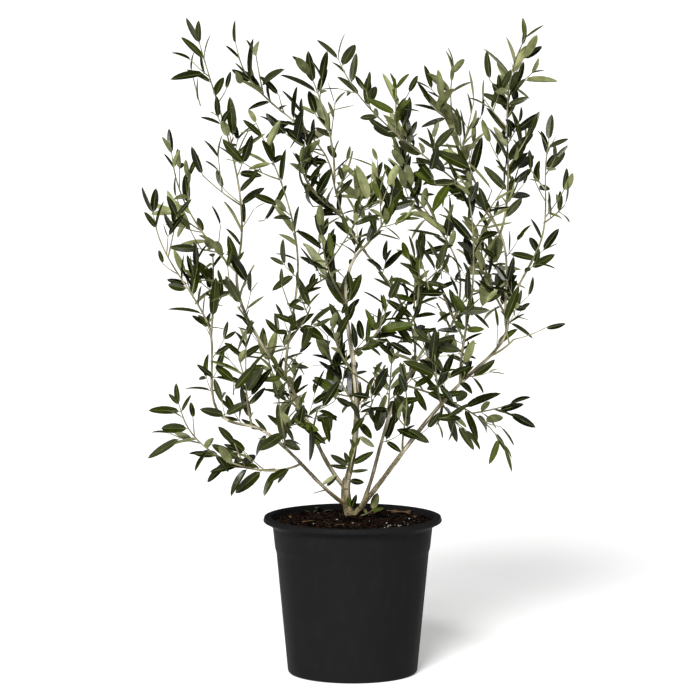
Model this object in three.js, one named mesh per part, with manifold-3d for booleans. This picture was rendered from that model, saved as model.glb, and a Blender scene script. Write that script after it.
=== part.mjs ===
// A young olive tree, trained flat as a fan, in a round black nursery pot.
// Millimetres, +Z up, the front of the fan faces -Y. The origin is the centre of the pot's underside.
import * as THREE from 'three';
import { mergeVertices } from 'three/addons/utils/BufferGeometryUtils.js';
import Module from 'manifold-3d';

const wasm = await Module();
wasm.setup();

// Driving sizes of the pot and of the potting mix in it.
const POT = {
  height: 265,
  rimRadius: 150,
  rimFace: 10,
  rimDepth: 20,
  rimBevel: 2,
  mouthRadius: 137,
  wall: 2.4,
  underRimRadius: 134.5,
  stepDrop: 53,
  stepRadius: 130.5,
  stepIn: 2.2,
  footRadius: 109,
  footRound: 6,
  footBevel: 1.8,
  footStand: 0.5,
  floor: 4,
  sides: 32,
};
const MIX = { edgeBelowRim: 8, crownRise: 4, trunkSeatRadius: 16, sideGap: 0.4 };

// Neighbouring solids stay this far apart.
const GAP = 0.3;

// The trunk leans from foot to fork and flares at its foot, which is cut flat at the top of the mix.
const TRUNK = {
  foot: [1, 0], belowCut: 8, fork: [-9, 2, 328], leaves: [-22, 0], arrives: [16, 0],
  radius: [9.4, 7.4], flare: 4, flareFade: 10,
};

// A bough's row: its name, the limb that carries it, the share of that limb where it starts, its tip,
// the way it leaves and the way it arrives, and its radius at both ends. A way is two angles in degrees:
// the lean from upright towards +X, then the turn from there towards the back. A bough that starts at share 1
// grows on from its carrier's tip, and leaves the way that one arrives.
const BOUGHS = [
  ['bough_centre_lower', 'trunk', 1, [2, -6, 521], null, [-7, -4], [5.6, 4.2]],
  ['bough_centre_upper', 'bough_centre_lower', 1, [16, -14, 717], null, [46, -6], [4.2, 2.3]],
  ['bough_left_low', 'trunk', 0.4, [-151, -38, 416], [-56, -18], [-58, -4], [3.5, 2.6]],
  ['bough_left_mid', 'trunk', 0.78, [-117, 12, 504], [-44, 14], [-35, 0], [3.9, 3]],
  ['bough_left_high', 'bough_left_mid', 1, [-192, 26, 690], null, [12, 0], [3, 2]],
  ['bough_left_inner', 'bough_left_mid', 0.96, [-91, -34, 680], [-2, -24], [2, -6], [2.4, 1.7]],
  ['bough_left_far', 'bough_left_low', 1, [-207, -44, 433], null, [-62, 0], [2.5, 2.2]],
  ['bough_left_rise', 'bough_left_far', 1, [-242, -30, 596], null, [-24, 4], [2.2, 1.7]],
  ['bough_right_front', 'trunk', 0.12, [186, -46, 502], [38, -34], [46, 0], [4.6, 3.2]],
  ['bough_right_bend', 'bough_right_front', 1, [259, -24, 596], null, [2, 4], [3, 2.4]],
  ['bough_right_upright', 'bough_right_front', 0.97, [199, -72, 677], [-4, -20], [2, -4], [2.4, 1.7]],
  ['bough_right_outer', 'bough_right_bend', 1, [309, -30, 722], null, [22, 0], [2.2, 1.6]],
  ['bough_right_inner', 'bough_right_bend', 0.88, [241, 14, 751], [-10, 34], [-32, -6], [2.3, 1.8]],
  ['bough_right_back', 'bough_right_front', 0.1, [121, 34, 524], [30, 40], [52, 0], [3.4, 2.6]],
  ['bough_back_upright', 'bough_right_back', 1, [178, 52, 680], null, [-14, 2], [2.5, 1.7]],
  ['bough_back_inner', 'bough_right_back', 0.86, [16, 24, 714], [28, 8], [-40, -4], [2.3, 1.8]],
  ['bough_upper_left', 'bough_back_inner', 1, [-34, 12, 840], null, [-10, -4], [1.8, 1.5]],
];

// The row of a mass of foliage says the same of its stem, with the seed of its growth in place of radii.
const MASSES = [
  ['foliage_left_edge', 'bough_left_rise', 1, [-326, -38, 756], null, [-12, 0], 11],
  ['foliage_left_edge_back', 'bough_left_rise', 0.86, [-236, 50, 716], [4, 40], [-4, 4], 12],
  ['foliage_left_rising', 'bough_left_far', 0.3, [-176, -86, 560], [-14, -24], [2, -4], 13],
  ['foliage_left_low', 'bough_left_low', 0.56, [-282, -52, 440], [-118, -8], [-18, 0], 14],
  ['foliage_left_crown', 'bough_left_high', 1, [-248, 6, 1036], null, [-16, 0], 15],
  ['foliage_left_outer', 'bough_left_high', 0.92, [-300, 46, 850], [-46, 16], [-8, 0], 16],
  ['foliage_left_high_front', 'bough_left_high', 0.45, [-204, -64, 668], [-25, -40], [-6, 0], 38],
  ['foliage_left_high_back', 'bough_left_high', 0.7, [-146, 92, 740], [6, 45], [4, 0], 39],
  ['foliage_left_centre', 'bough_left_inner', 1, [-150, -54, 908], null, [-24, 0], 17],
  ['foliage_left_inner_front', 'bough_left_inner', 0.35, [-66, -88, 648], [28, -30], [4, 0], 40],
  ['foliage_left_mid_front', 'bough_left_mid', 0.5, [-54, -50, 486], [6, -42], [4, 0], 18],
  ['foliage_left_mid_back', 'bough_left_mid', 0.62, [-142, 82, 520], [-45, 40], [-10, 0], 41],
  ['foliage_left_low_front', 'bough_left_low', 0.75, [-122, -96, 474], [0, -45], [-6, 0], 42],
  ['foliage_top_left', 'bough_upper_left', 1, [-188, -20, 1036], null, [-14, 0], 19],
  ['foliage_top_left_back', 'bough_upper_left', 0.88, [-66, 36, 994], [4, 20], [-22, 0], 20],
  ['foliage_top_left_front', 'bough_upper_left', 0.78, [-2, -34, 954], [34, -24], [-14, 0], 21],
  ['foliage_upper_front', 'bough_upper_left', 0.4, [-84, -56, 856], [-40, -30], [-10, 0], 43],
  ['foliage_upper_back', 'bough_upper_left', 0.25, [42, 84, 836], [20, 40], [0, 0], 44],
  ['foliage_centre', 'bough_centre_upper', 1, [64, -44, 808], null, [4, 0], 22],
  ['foliage_centre_left', 'bough_centre_upper', 0.5, [-50, -72, 744], [-30, -40], [0, 0], 23],
  ['foliage_centre_back', 'bough_centre_upper', 0.42, [-42, 84, 690], [-16, 52], [0, 4], 24],
  ['foliage_centre_low_left', 'bough_centre_lower', 0.93, [-36, -40, 610], [-44, -20], [-4, 0], 25],
  ['foliage_centre_low_right', 'bough_centre_upper', 0.08, [54, -66, 616], [52, -26], [16, 0], 26],
  ['foliage_centre_foot', 'bough_centre_lower', 0.45, [36, -78, 492], [24, -45], [0, 0], 45],
  ['foliage_centre_foot_back', 'bough_centre_lower', 0.62, [-40, 66, 540], [-30, 45], [-6, 0], 46],
  ['foliage_right_back', 'bough_back_upright', 1, [82, 66, 866], null, [-4, 0], 27],
  ['foliage_right_back_mid', 'bough_back_upright', 0.4, [126, 100, 660], [-20, 40], [-8, 0], 28],
  ['foliage_right_back_low', 'bough_right_back', 0.55, [66, 98, 512], [6, 48], [4, 0], 47],
  ['foliage_right_mid', 'bough_back_inner', 0.4, [112, -26, 700], [28, -36], [4, 0], 29],
  ['foliage_top_centre', 'bough_right_inner', 1, [-14, -22, 1012], null, [-26, 2], 30],
  ['foliage_top_right_back', 'bough_right_inner', 0.84, [166, 52, 996], [-22, 28], [8, 0], 31],
  ['foliage_top_right', 'bough_right_inner', 0.93, [276, -8, 1046], [18, -16], [24, 0], 32],
  ['foliage_right_edge', 'bough_right_outer', 1, [322, -24, 876], null, [8, 0], 33],
  ['foliage_right_inner_back', 'bough_right_inner', 0.16, [216, 82, 720], [-30, 34], [-6, 0], 34],
  ['foliage_right_upright', 'bough_right_upright', 1, [192, -90, 800], null, [-10, 0], 35],
  ['foliage_right_upright_front', 'bough_right_upright', 0.42, [146, -112, 676], [-26, -28], [-4, 0], 48],
  ['foliage_right_bend', 'bough_right_bend', 0.45, [286, -76, 612], [62, -34], [8, 0], 49],
  ['foliage_right_low', 'bough_right_back', 0.8, [240, 18, 402], [108, 16], [142, 0], 36],
  ['foliage_right_front_low', 'bough_right_front', 0.5, [88, -92, 486], [-8, -36], [-8, 0], 37],
  ['foliage_right_front_mid', 'bough_right_front', 0.82, [134, -112, 560], [-14, -36], [-4, 0], 50],
];

// How a limb is cut into straight stretches and sides.
const LIMB = { stretch: 30, thick: 3, thickSides: 8, thinSides: 6, nearby: 16, young: 2.2, seatStep: 0.1 };

// How a mass grows: sizes of its stem, its twigs and its leaves, and the space that all of them stay in.
const STEM = { radius: [1.8, 1.1], bareShare: 0.08, bareLength: 12 };
const TWIG = {
  every: 58, place: [0.2, 0.7], lastShare: 0.84, length: [112, 58], spread: 0.25, shorter: [1, 0.7, 0.5],
  angle: 48, angleSpread: 0.2, scatter: 0.4, rise: 0.3, radius: [1.3, 0.9], bareLength: 29,
  stretch: 54, checkSteps: 6, checksFrom: 2,
};
const LEAF = {
  every: 36, lastShare: 0.985, length: 64, spread: 0.16, width: 16, thickness: 1.6, sink: 0.3,
  angle: 50, angleSpread: 0.35, endAngle: 25, scatter: 0.25, leastSlant: 0.35, mostSlant: 1.45,
  offMiddle: 0.3, roll: 1, hang: 0.9, apart: 7, attempts: 4, checks: [0.3, 0.52, 0.76, 1], widest: 1,
};
const SPACE = { margin: 3, limbClearance: 1.5, aboveMix: 12, left: -348, right: 362, depth: 140, top: 1102 };
// Leaves hang more the lower they grow, from this height down to the mix.
const UPRIGHT_ABOVE = 860;
// Twigs and leaves start from the middle of one of a twig's three flat sides.
const FLAT_SIDES = [30, 150, 270].map(THREE.MathUtils.degToRad);

const BARK = { color: 0x8f8468, roughness: 0.85, metalness: 0 };
const GREEN_BARK = { color: 0x77804f, roughness: 0.8, metalness: 0 };
const FOLIAGE = { color: 0x4e5e34, roughness: 0.5, metalness: 0 };
const BLACK_PLASTIC = { color: 0x222222, roughness: 0.5, metalness: 0 };
const POTTING_MIX = { color: 0x2a211b, roughness: 1, metalness: 0 };

const UP = new THREE.Vector3(0, 0, 1);

// A small seeded generator, so each mass grows the same way every time.
function seeded(seed) {
  let state = seed >>> 0;
  return () => {
    state = (state + 0x6d2b79f5) >>> 0;
    let mixed = Math.imul(state ^ (state >>> 15), state | 1);
    mixed ^= mixed + Math.imul(mixed ^ (mixed >>> 7), mixed | 61);
    return ((mixed ^ (mixed >>> 14)) >>> 0) / 4294967296;
  };
}

// A direction from its lean towards +X and its turn towards the back, both in degrees.
function heading([lean, back]) {
  const a = THREE.MathUtils.degToRad(lean);
  const b = THREE.MathUtils.degToRad(back);
  return new THREE.Vector3(Math.sin(a) * Math.cos(b), Math.sin(b), Math.cos(a) * Math.cos(b));
}

// How many straight stretches a limb of this length has.
function stepsFor(length, stretch) {
  return Math.max(1, Math.round(length / stretch));
}

// A smooth curve that starts and ends along given directions.
function bow(start, end, leaves, arrives) {
  const pull = start.distanceTo(end) / 3;
  return new THREE.CubicBezierCurve3(
    start,
    start.clone().addScaledVector(leaves, pull),
    end.clone().addScaledVector(arrives, -pull),
    end,
  );
}

// Two directions square to a curve's run.
function squareTo(along, reference) {
  const across = new THREE.Vector3().crossVectors(reference, along).normalize();
  return [across, new THREE.Vector3().crossVectors(across, along)];
}

// The reference is one for the whole curve, so its sides never twist: front to back, or else sideways.
function referenceFor(curve) {
  const run = curve.getPoint(1).sub(curve.getPoint(0));
  return Math.abs(run.y) < Math.hypot(run.x, run.z) ? new THREE.Vector3(0, 1, 0) : new THREE.Vector3(1, 0, 0);
}

// The place and the run at a share of a line's length, counted along its straight stretches.
function alongLine(line, share) {
  const last = line.length - 1;
  const from = Math.min(Math.floor(share * last), last - 1);
  const place = line[from].clone().lerp(line[from + 1], share * last - from);
  return { place, run: line[from + 1].clone().sub(line[from]).normalize() };
}

// A closed round limb: a cylinder bent along the curve, with a radius for each share of its length.
function limbGeometry(curve, radiusAt, sides, steps) {
  const geometry = new THREE.CylinderGeometry(1, 1, 1, sides, steps);
  const places = geometry.attributes.position;
  const reference = referenceFor(curve);
  for (let i = 0; i < places.count; i += 1) {
    const share = places.getY(i) + 0.5;
    const [across, over] = squareTo(curve.getTangent(share), reference);
    const radius = radiusAt(share);
    const place = curve.getPoint(share);
    place.addScaledVector(across, places.getX(i) * radius);
    place.addScaledVector(over, places.getZ(i) * radius);
    places.setXYZ(i, place.x, place.y, place.z);
  }
  return geometry;
}

function solidOf(geometry) {
  const bare = new THREE.BufferGeometry();
  bare.setAttribute('position', geometry.attributes.position);
  bare.setIndex(geometry.index);
  const merged = mergeVertices(bare);
  return new wasm.Manifold(new wasm.Mesh({
    numProp: 3,
    vertProperties: new Float32Array(merged.attributes.position.array),
    triVerts: new Uint32Array(merged.index.array),
  }));
}

// The largest body of a solid, so a loose scrap or a sealed pocket is dropped.
function mainBody(solid) {
  return solid.decompose().reduce((best, body) => (body.volume() > best.volume() ? body : best));
}

function meshOf(name, solid, finish) {
  const { vertProperties, triVerts } = solid.getMesh();
  const geometry = new THREE.BufferGeometry();
  geometry.setAttribute('position', new THREE.BufferAttribute(vertProperties, 3));
  geometry.setIndex(new THREE.BufferAttribute(triVerts, 1));
  geometry.computeVertexNormals();
  const mesh = new THREE.Mesh(geometry, new THREE.MeshStandardMaterial(finish));
  mesh.name = name;
  return mesh;
}

// Distance from a point to a limb's centre line.
function distanceTo(point, line) {
  let nearest = Infinity;
  const closest = new THREE.Vector3();
  for (let i = 1; i < line.length; i += 1) {
    new THREE.Line3(line[i - 1], line[i]).closestPointToPoint(point, true, closest);
    nearest = Math.min(nearest, closest.distanceTo(point));
  }
  return nearest;
}

// The limbs in the order they grow: each starts on the centre line of the limb that carries it.
const mixTop = POT.height - MIX.edgeBelowRim + MIX.crownRise;
const limbs = new Map();

function shapeLimb(limb, start, leaves) {
  limb.curve = bow(start, new THREE.Vector3(...limb.tip), leaves, heading(limb.arrives));
  limb.length = limb.curve.getLength();
  limb.steps = stepsFor(limb.length, limb.stretch);
  limb.line = limb.curve.getPoints(limb.steps);
}

function addLimb(limb, start, leaves) {
  shapeLimb(limb, start, leaves);
  limbs.set(limb.name, limb);
  return limb;
}

// A limb from the tip of its carrier starts a gap beyond it; any other starts on its carrier's centre line.
function growFrom([name, on, share, tip, leaves, arrives], form) {
  const carrier = limbs.get(on).curve;
  const limb = { name, on, share, tip, arrives, ...form };
  if (share < 1) return addLimb(limb, carrier.getPoint(share), heading(leaves));
  const onward = carrier.getTangent(1);
  return addLimb(limb, carrier.getPoint(1).addScaledVector(onward, GAP), onward);
}

function boughForm(radiusAt) {
  const sides = radiusAt(0) > LIMB.thick ? LIMB.thickSides : LIMB.thinSides;
  return { radiusAt, sides, stretch: LIMB.stretch };
}

function straightTaper([thick, thin]) {
  return (share) => thick + (thin - thick) * share;
}

const trunkTaper = straightTaper(TRUNK.radius);
const trunkFoot = mixTop - TRUNK.belowCut;
const trunkLength = TRUNK.fork[2] - trunkFoot;
const flareAt = (share) => TRUNK.flare * Math.exp((-share * trunkLength) / TRUNK.flareFade);
const trunk = addLimb(
  {
    name: 'trunk',
    tip: TRUNK.fork,
    arrives: TRUNK.arrives,
    ...boughForm((share) => trunkTaper(share) + flareAt(share)),
  },
  new THREE.Vector3(...TRUNK.foot, trunkFoot),
  heading(TRUNK.leaves),
);
for (const row of BOUGHS) growFrom(row, boughForm(straightTaper(row.at(-1))));
const boughs = [...limbs.values()];
const stemRadius = straightTaper(STEM.radius);
const stems = MASSES.map((row) => {
  const form = { radiusAt: stemRadius, stretch: TWIG.stretch, seed: row.at(-1) };
  return growFrom(row, form);
});

// How far a point is outside a limb's round surface.
function clearance(point, limb) {
  const last = limb.line.length - 1;
  const stretch = new THREE.Line3();
  const closest = new THREE.Vector3();
  let least = Infinity;
  for (let i = 0; i < last; i += 1) {
    stretch.set(limb.line[i], limb.line[i + 1]);
    const share = (i + stretch.closestPointToPointParameter(point, true)) / last;
    stretch.closestPointToPoint(point, true, closest);
    least = Math.min(least, closest.distanceTo(point) - limb.radiusAt(share));
  }
  return least;
}

// The corners of a three-sided ring, and the middles of its edges.
function ringOf(curve, share, radius) {
  const middle = curve.getPoint(share);
  const [across, over] = squareTo(curve.getTangent(share), referenceFor(curve));
  const corners = [0, 120, 240].map(THREE.MathUtils.degToRad).map((round) => middle.clone()
    .addScaledVector(across, Math.sin(round) * radius)
    .addScaledVector(over, Math.cos(round) * radius));
  return [...corners, ...corners.map((corner, i) => corner.clone().lerp(corners[(i + 1) % 3], 0.5))];
}

// A stem on the side of a bough starts where its flat end comes clear of the bough.
for (const stem of stems.filter((row) => row.share < 1)) {
  const carrier = limbs.get(stem.on);
  const whole = stem.curve;
  const step = LIMB.seatStep / stem.length;
  let start = 0;
  while (ringOf(whole, start, STEM.radius[0]).some((point) => clearance(point, carrier) < GAP)) start += step;
  shapeLimb(stem, whole.getPoint(start), whole.getTangent(start));
}

// A point is in a mass's own space when it is nearer to that mass's stem than to any other stem,
// and clear of every bough and of the potting mix.
function inOwnSpace(point, stem) {
  if (point.z < mixTop + SPACE.aboveMix || point.z > SPACE.top) return false;
  if (point.x < SPACE.left || point.x > SPACE.right || Math.abs(point.y) > SPACE.depth) return false;
  const own = distanceTo(point, stem.line);
  const nearer = (other) => other !== stem && distanceTo(point, other.line) < own + SPACE.margin;
  if (stems.some(nearer)) return false;
  return boughs.every((bough) => clearance(point, bough) > SPACE.limbClearance);
}

// A leaf is a stretched octahedron: six corners and eight faces, its root sunk in the twig.
// It is skipped where it would leave the mass's space or cross a leaf that is there already.
function leafAt(root, along, facing, length, stem, midlines) {
  const side = new THREE.Vector3().crossVectors(along, facing).normalize();
  const halfWidth = (LEAF.width * length) / LEAF.length / 2;
  const checks = LEAF.checks.map((share) => root.clone().addScaledVector(along, length * share));
  const widest = checks[LEAF.widest];
  const edges = [-halfWidth, halfWidth].map((reach) => widest.clone().addScaledVector(side, reach));
  if (![...checks, ...edges].every((point) => inOwnSpace(point, stem))) return null;
  if (midlines.some((other) => checks.some((point) => distanceTo(point, other) < LEAF.apart))) return null;
  if (midlines.some((other) => other.some((point) => distanceTo(point, checks) < LEAF.apart))) return null;
  midlines.push(checks);
  const whole = length + LEAF.sink;
  const leaf = new THREE.OctahedronGeometry(1);
  leaf.scale(halfWidth, whole / 2, LEAF.thickness / 2);
  leaf.translate(0, whole / 2 - LEAF.sink, 0);
  leaf.applyMatrix4(new THREE.Matrix4().makeBasis(side, along, facing).setPosition(root));
  return leaf;
}

// A direction that slants off a shoot, out through one of its flat sides.
function slantedFrom(along, reference, round, slant) {
  const [across, over] = squareTo(along, reference);
  const outward = across.multiplyScalar(Math.cos(round)).addScaledVector(over, Math.sin(round));
  return along.clone().multiplyScalar(Math.cos(slant)).addScaledVector(outward, Math.sin(slant)).normalize();
}

// The direction nearest to a wish that still leaves the shoot near the middle of one of its flat sides.
function throughFlatSide(along, reference, wish) {
  const [across, over] = squareTo(along, reference);
  const round = Math.atan2(wish.dot(over), wish.dot(across));
  const offset = (side) => THREE.MathUtils.euclideanModulo(round - side + Math.PI, 2 * Math.PI) - Math.PI;
  const nearer = (best, next) => (Math.abs(offset(next)) < Math.abs(offset(best)) ? next : best);
  const side = FLAT_SIDES.reduce(nearer);
  const slant = THREE.MathUtils.clamp(wish.angleTo(along), LEAF.leastSlant, LEAF.mostSlant);
  const turn = THREE.MathUtils.clamp(offset(side), -LEAF.offMiddle, LEAF.offMiddle);
  return slantedFrom(along, reference, side + turn, slant);
}

// A number up to a spread above or below a middle one.
function around(middle, spread, random) {
  return middle + spread * (2 * random() - 1);
}

// Pairs of leaves along a shoot, each pair turned on from the last. A leaf with no room is tried another way.
function leavesOn(curve, bareLength, random, stem, midlines) {
  const leaves = [];
  const length = curve.getLength();
  const line = curve.getPoints(stepsFor(length, TWIG.stretch));
  const reference = referenceFor(curve);
  const pairs = Math.max(1, Math.round((length - bareLength) / LEAF.every));
  for (let pair = 0; pair <= pairs; pair += 1) {
    const share = Math.min(LEAF.lastShare, (bareLength + ((length - bareLength) * pair) / pairs) / length);
    const { place: root, run: along } = alongLine(line, share);
    const low = THREE.MathUtils.clamp((UPRIGHT_ABOVE - root.z) / (UPRIGHT_ABOVE - mixTop), 0, 1);
    for (const half of [0, 1]) {
      for (let attempt = 0; attempt < LEAF.attempts; attempt += 1) {
        const round = around(FLAT_SIDES[(pair * 2 + half + attempt) % 3], LEAF.scatter, random);
        const slant = pair === pairs ? LEAF.endAngle : LEAF.angle * around(1, LEAF.angleSpread, random);
        const size = LEAF.length * around(1, LEAF.spread, random);
        const wish = slantedFrom(along, reference, round, THREE.MathUtils.degToRad(slant));
        wish.addScaledVector(UP, -LEAF.hang * low * random());
        const way = throughFlatSide(along, reference, wish);
        const facing = along.clone().addScaledVector(way, -along.dot(way)).normalize();
        facing.applyAxisAngle(way, around(0, LEAF.roll, random));
        const leaf = leafAt(root, way, facing, size, stem, midlines);
        if (leaf) {
          leaves.push(leaf);
          break;
        }
      }
    }
  }
  return leaves;
}

// Twigs round the stem, long near its foot and short near its tip, bent upwards.
// One that would leave the mass's space is tried shorter, and then skipped.
function twigsOn(stem, bareLength, random) {
  const twigs = [];
  const bare = bareLength / stem.length;
  const leafy = TWIG.lastShare - bare;
  const count = Math.max(1, Math.round((stem.length * leafy) / TWIG.every));
  const reference = referenceFor(stem.curve);
  for (let i = 0; i < count; i += 1) {
    const share = bare + (leafy * (i + THREE.MathUtils.lerp(...TWIG.place, random()))) / count;
    const round = around(FLAT_SIDES[(i + stem.seed) % 3], TWIG.scatter, random);
    const slant = THREE.MathUtils.degToRad(TWIG.angle * around(1, TWIG.angleSpread, random));
    const { place: root, run } = alongLine(stem.line, share);
    const way = slantedFrom(run, reference, round, slant);
    const late = way.clone().addScaledVector(UP, TWIG.rise).normalize();
    const middle = way.clone().add(late).normalize();
    const full = THREE.MathUtils.lerp(...TWIG.length, share) * around(1, TWIG.spread, random);
    const tipAt = (part) => root.clone().addScaledVector(middle, full * part);
    const tries = TWIG.shorter.map((part) => bow(root, tipAt(part), way, late));
    const checks = (curve) => curve.getPoints(TWIG.checkSteps).slice(TWIG.checksFrom);
    const fits = tries.find((curve) => checks(curve).every((point) => inOwnSpace(point, stem)));
    if (fits) twigs.push(fits);
  }
  return twigs;
}

// A mass is one solid: the stem, its twigs and all their leaves joined.
function growMass(stem) {
  const random = seeded(stem.seed);
  const bareLength = Math.max(STEM.bareLength, STEM.bareShare * stem.length);
  const twigs = twigsOn(stem, bareLength, random);
  const midlines = [stem.line, ...twigs.map((twig) => twig.getPoints(TWIG.checkSteps))];
  const leaves = leavesOn(stem.curve, bareLength, random, stem, midlines);
  for (const twig of twigs) leaves.push(...leavesOn(twig, TWIG.bareLength, random, stem, midlines));
  let mass = solidOf(limbGeometry(stem.curve, stemRadius, FLAT_SIDES.length, stem.steps));
  for (const twig of twigs) {
    const steps = stepsFor(twig.getLength(), TWIG.stretch);
    mass = mass.add(solidOf(limbGeometry(twig, straightTaper(TWIG.radius), FLAT_SIDES.length, steps)));
  }
  for (const leaf of leaves) mass = mass.add(solidOf(leaf));
  return mainBody(mass);
}

// A limb's solid, cut clear of the limbs that were there before it.
function clearOf(whole, earlier) {
  let cut = whole;
  for (const limb of earlier) {
    const wider = (share) => limb.radiusAt(share) + GAP;
    cut = cut.subtract(solidOf(limbGeometry(limb.curve, wider, limb.sides, limb.steps)));
    cut = cut.subtract(capBeyond(limb));
  }
  return mainBody(cut);
}

// A short plug past a limb's tip, which keeps the gap to the limb that grows on from it.
function capBeyond(limb) {
  const end = limb.curve.getPoint(1);
  const along = limb.curve.getTangent(1);
  const from = end.clone().addScaledVector(along, -GAP);
  const plug = new THREE.LineCurve3(from, end.clone().addScaledVector(along, GAP));
  return solidOf(limbGeometry(plug, () => limb.radiusAt(1) + GAP, limb.sides, 1));
}

const group = new THREE.Group();

// The pot: one turned wall with a flared rim, a small step below it and a rounded foot.
function potProfile() {
  const { height, rimRadius, rimFace, rimDepth, rimBevel, mouthRadius, wall, underRimRadius } = POT;
  const { stepDrop, stepRadius, stepIn, footRadius, footRound, footBevel, footStand, floor } = POT;
  const stepZ = height - stepDrop;
  const lower = stepRadius - stepIn;
  return [
    [0, 0],
    [footRadius - footRound, 0],
    [footRadius - footBevel, footBevel],
    [footRadius + footStand, footRound],
    [lower, stepZ - stepIn],
    [stepRadius, stepZ],
    [underRimRadius, height - rimDepth],
    [rimRadius, height - rimFace],
    [rimRadius, height - rimBevel],
    [rimRadius - rimBevel, height],
    [mouthRadius, height],
    [underRimRadius - wall, height - rimDepth],
    [stepRadius - wall, stepZ],
    [lower - wall, stepZ - stepIn],
    [footRadius + footStand - wall, footRound + floor],
    [footRadius - footRound, floor],
    [0, floor],
  ].map(([x, y]) => new THREE.Vector2(x, y));
}

function turned(profile) {
  const geometry = new THREE.LatheGeometry(profile, POT.sides);
  geometry.rotateX(Math.PI / 2);
  return geometry;
}

group.add(meshOf('pot', solidOf(turned(potProfile())), BLACK_PLASTIC));

// The potting mix fills the pot and rises a little towards the trunk.
function mixProfile() {
  const inset = POT.wall + MIX.sideGap;
  const stepZ = POT.height - POT.stepDrop;
  const widening = (POT.mouthRadius - POT.underRimRadius + POT.wall) / POT.rimDepth;
  const edge = POT.underRimRadius - inset + widening * (POT.rimDepth - MIX.edgeBelowRim);
  return [
    [0, POT.floor + GAP],
    [POT.footRadius - POT.footRound - inset, POT.floor + GAP],
    [POT.footRadius - inset, POT.footRound + POT.floor + GAP],
    [POT.stepRadius - POT.stepIn - inset, stepZ - POT.stepIn - GAP],
    [POT.underRimRadius - inset - GAP, POT.height - POT.rimDepth - GAP],
    [edge, POT.height - MIX.edgeBelowRim],
    [MIX.trunkSeatRadius, mixTop],
    [0, mixTop],
  ].map(([x, y]) => new THREE.Vector2(x, y));
}

group.add(meshOf('potting_mix', solidOf(turned(mixProfile())), POTTING_MIX));

// The trunk is cut flat at the mix, and each bough is cut clear of the limbs it starts among.
for (const limb of boughs) {
  limb.whole = solidOf(limbGeometry(limb.curve, limb.radiusAt, limb.sides, limb.steps));
}
const belowMix = new THREE.BoxGeometry(2 * POT.rimRadius, 2 * POT.rimRadius, POT.height);
belowMix.translate(0, 0, mixTop + GAP - POT.height / 2);
trunk.whole = trunk.whole.subtract(solidOf(belowMix));

function startsAmong(limb, other) {
  return limb.line.some((point) => distanceTo(point, other.line) < LIMB.nearby);
}

boughs.forEach((limb, i) => {
  const earlier = boughs.slice(0, i).filter((other) => startsAmong(limb, other));
  const finish = limb.radiusAt(1) > LIMB.young ? BARK : GREEN_BARK;
  group.add(meshOf(limb.name, clearOf(limb.whole, earlier), finish));
});

for (const stem of stems) group.add(meshOf(stem.name, growMass(stem), FOLIAGE));

export default group;
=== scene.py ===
"""A young olive tree, trained flat as a fan, in a round black nursery pot."""
import math

import bpy
import numpy as np
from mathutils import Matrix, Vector, kdtree, noise


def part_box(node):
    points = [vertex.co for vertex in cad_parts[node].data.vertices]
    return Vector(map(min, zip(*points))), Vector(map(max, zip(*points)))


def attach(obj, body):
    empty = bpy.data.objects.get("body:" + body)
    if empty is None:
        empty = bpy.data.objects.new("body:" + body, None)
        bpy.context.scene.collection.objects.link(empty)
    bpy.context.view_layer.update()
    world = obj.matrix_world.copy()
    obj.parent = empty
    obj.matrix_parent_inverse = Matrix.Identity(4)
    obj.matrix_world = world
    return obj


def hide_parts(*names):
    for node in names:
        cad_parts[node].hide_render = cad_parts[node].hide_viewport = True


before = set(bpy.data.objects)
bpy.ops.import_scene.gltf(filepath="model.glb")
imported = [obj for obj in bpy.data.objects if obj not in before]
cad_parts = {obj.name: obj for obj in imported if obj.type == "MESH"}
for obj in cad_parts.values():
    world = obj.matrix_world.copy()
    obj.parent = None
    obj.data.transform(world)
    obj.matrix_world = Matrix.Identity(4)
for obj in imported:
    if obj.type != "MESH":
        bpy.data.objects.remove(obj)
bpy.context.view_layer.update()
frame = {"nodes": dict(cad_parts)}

# The camera. It stands some six metres in front of the pot, above the middle of the tree,
# and looks a little down with a long lens, so the fan shows almost flat.
CAMERA_PLACE = (-0.0044, -6.3, 1.235)
CAMERA_LOOKS_DOWN = 6.24
CAMERA_LENS = 194.8
FAR_ENOUGH = 400.0
camera_data = bpy.data.cameras.new("camera")
camera_data.sensor_width = 36.0
camera_data.lens = CAMERA_LENS
camera_data.clip_end = FAR_ENOUGH
camera = bpy.data.objects.new("camera", camera_data)
camera.location = CAMERA_PLACE
camera.rotation_euler = (math.radians(90.0 - CAMERA_LOOKS_DOWN), 0.0, 0.0)
bpy.context.scene.collection.objects.link(camera)
bpy.context.scene.camera = camera
bpy.context.scene.view_settings.view_transform = "Standard"

# The pot. One injection-moulded shell of black polypropylene: a tapered wall with a soft step in it,
# a rim that flares out to a ridged lip with rounded edges, and a foot with a shallow recess.
MM = 0.001
POT_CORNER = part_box("pot")[1] / MM
POT_TOP = POT_CORNER.z
RIM_RADIUS = POT_CORNER.x
LIP_Z = POT_TOP - 7.5
RIDGE_Z = POT_TOP - 4.5
UNDER_RIM_Z = POT_TOP - 16.0
INNER_BEND_Z = POT_TOP - 20.0
MOUTH_RADIUS = RIM_RADIUS - 13.0
POT_WALL = 2.4
UNDER_RIM_RADIUS = RIM_RADIUS - 15.5
STEP_Z = POT_TOP - 53.0
STEP_LOW_Z = STEP_Z - 6.5
STEP_RADIUS = RIM_RADIUS - 19.5
STEP_IN = 2.2
FOOT_RADIUS = RIM_RADIUS - 41.0
FOOT_RECESS = 2.0
FOOT_RING = 20.0
FLOOR_THICKNESS = 4.0
POT_SEGMENTS = 160


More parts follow.
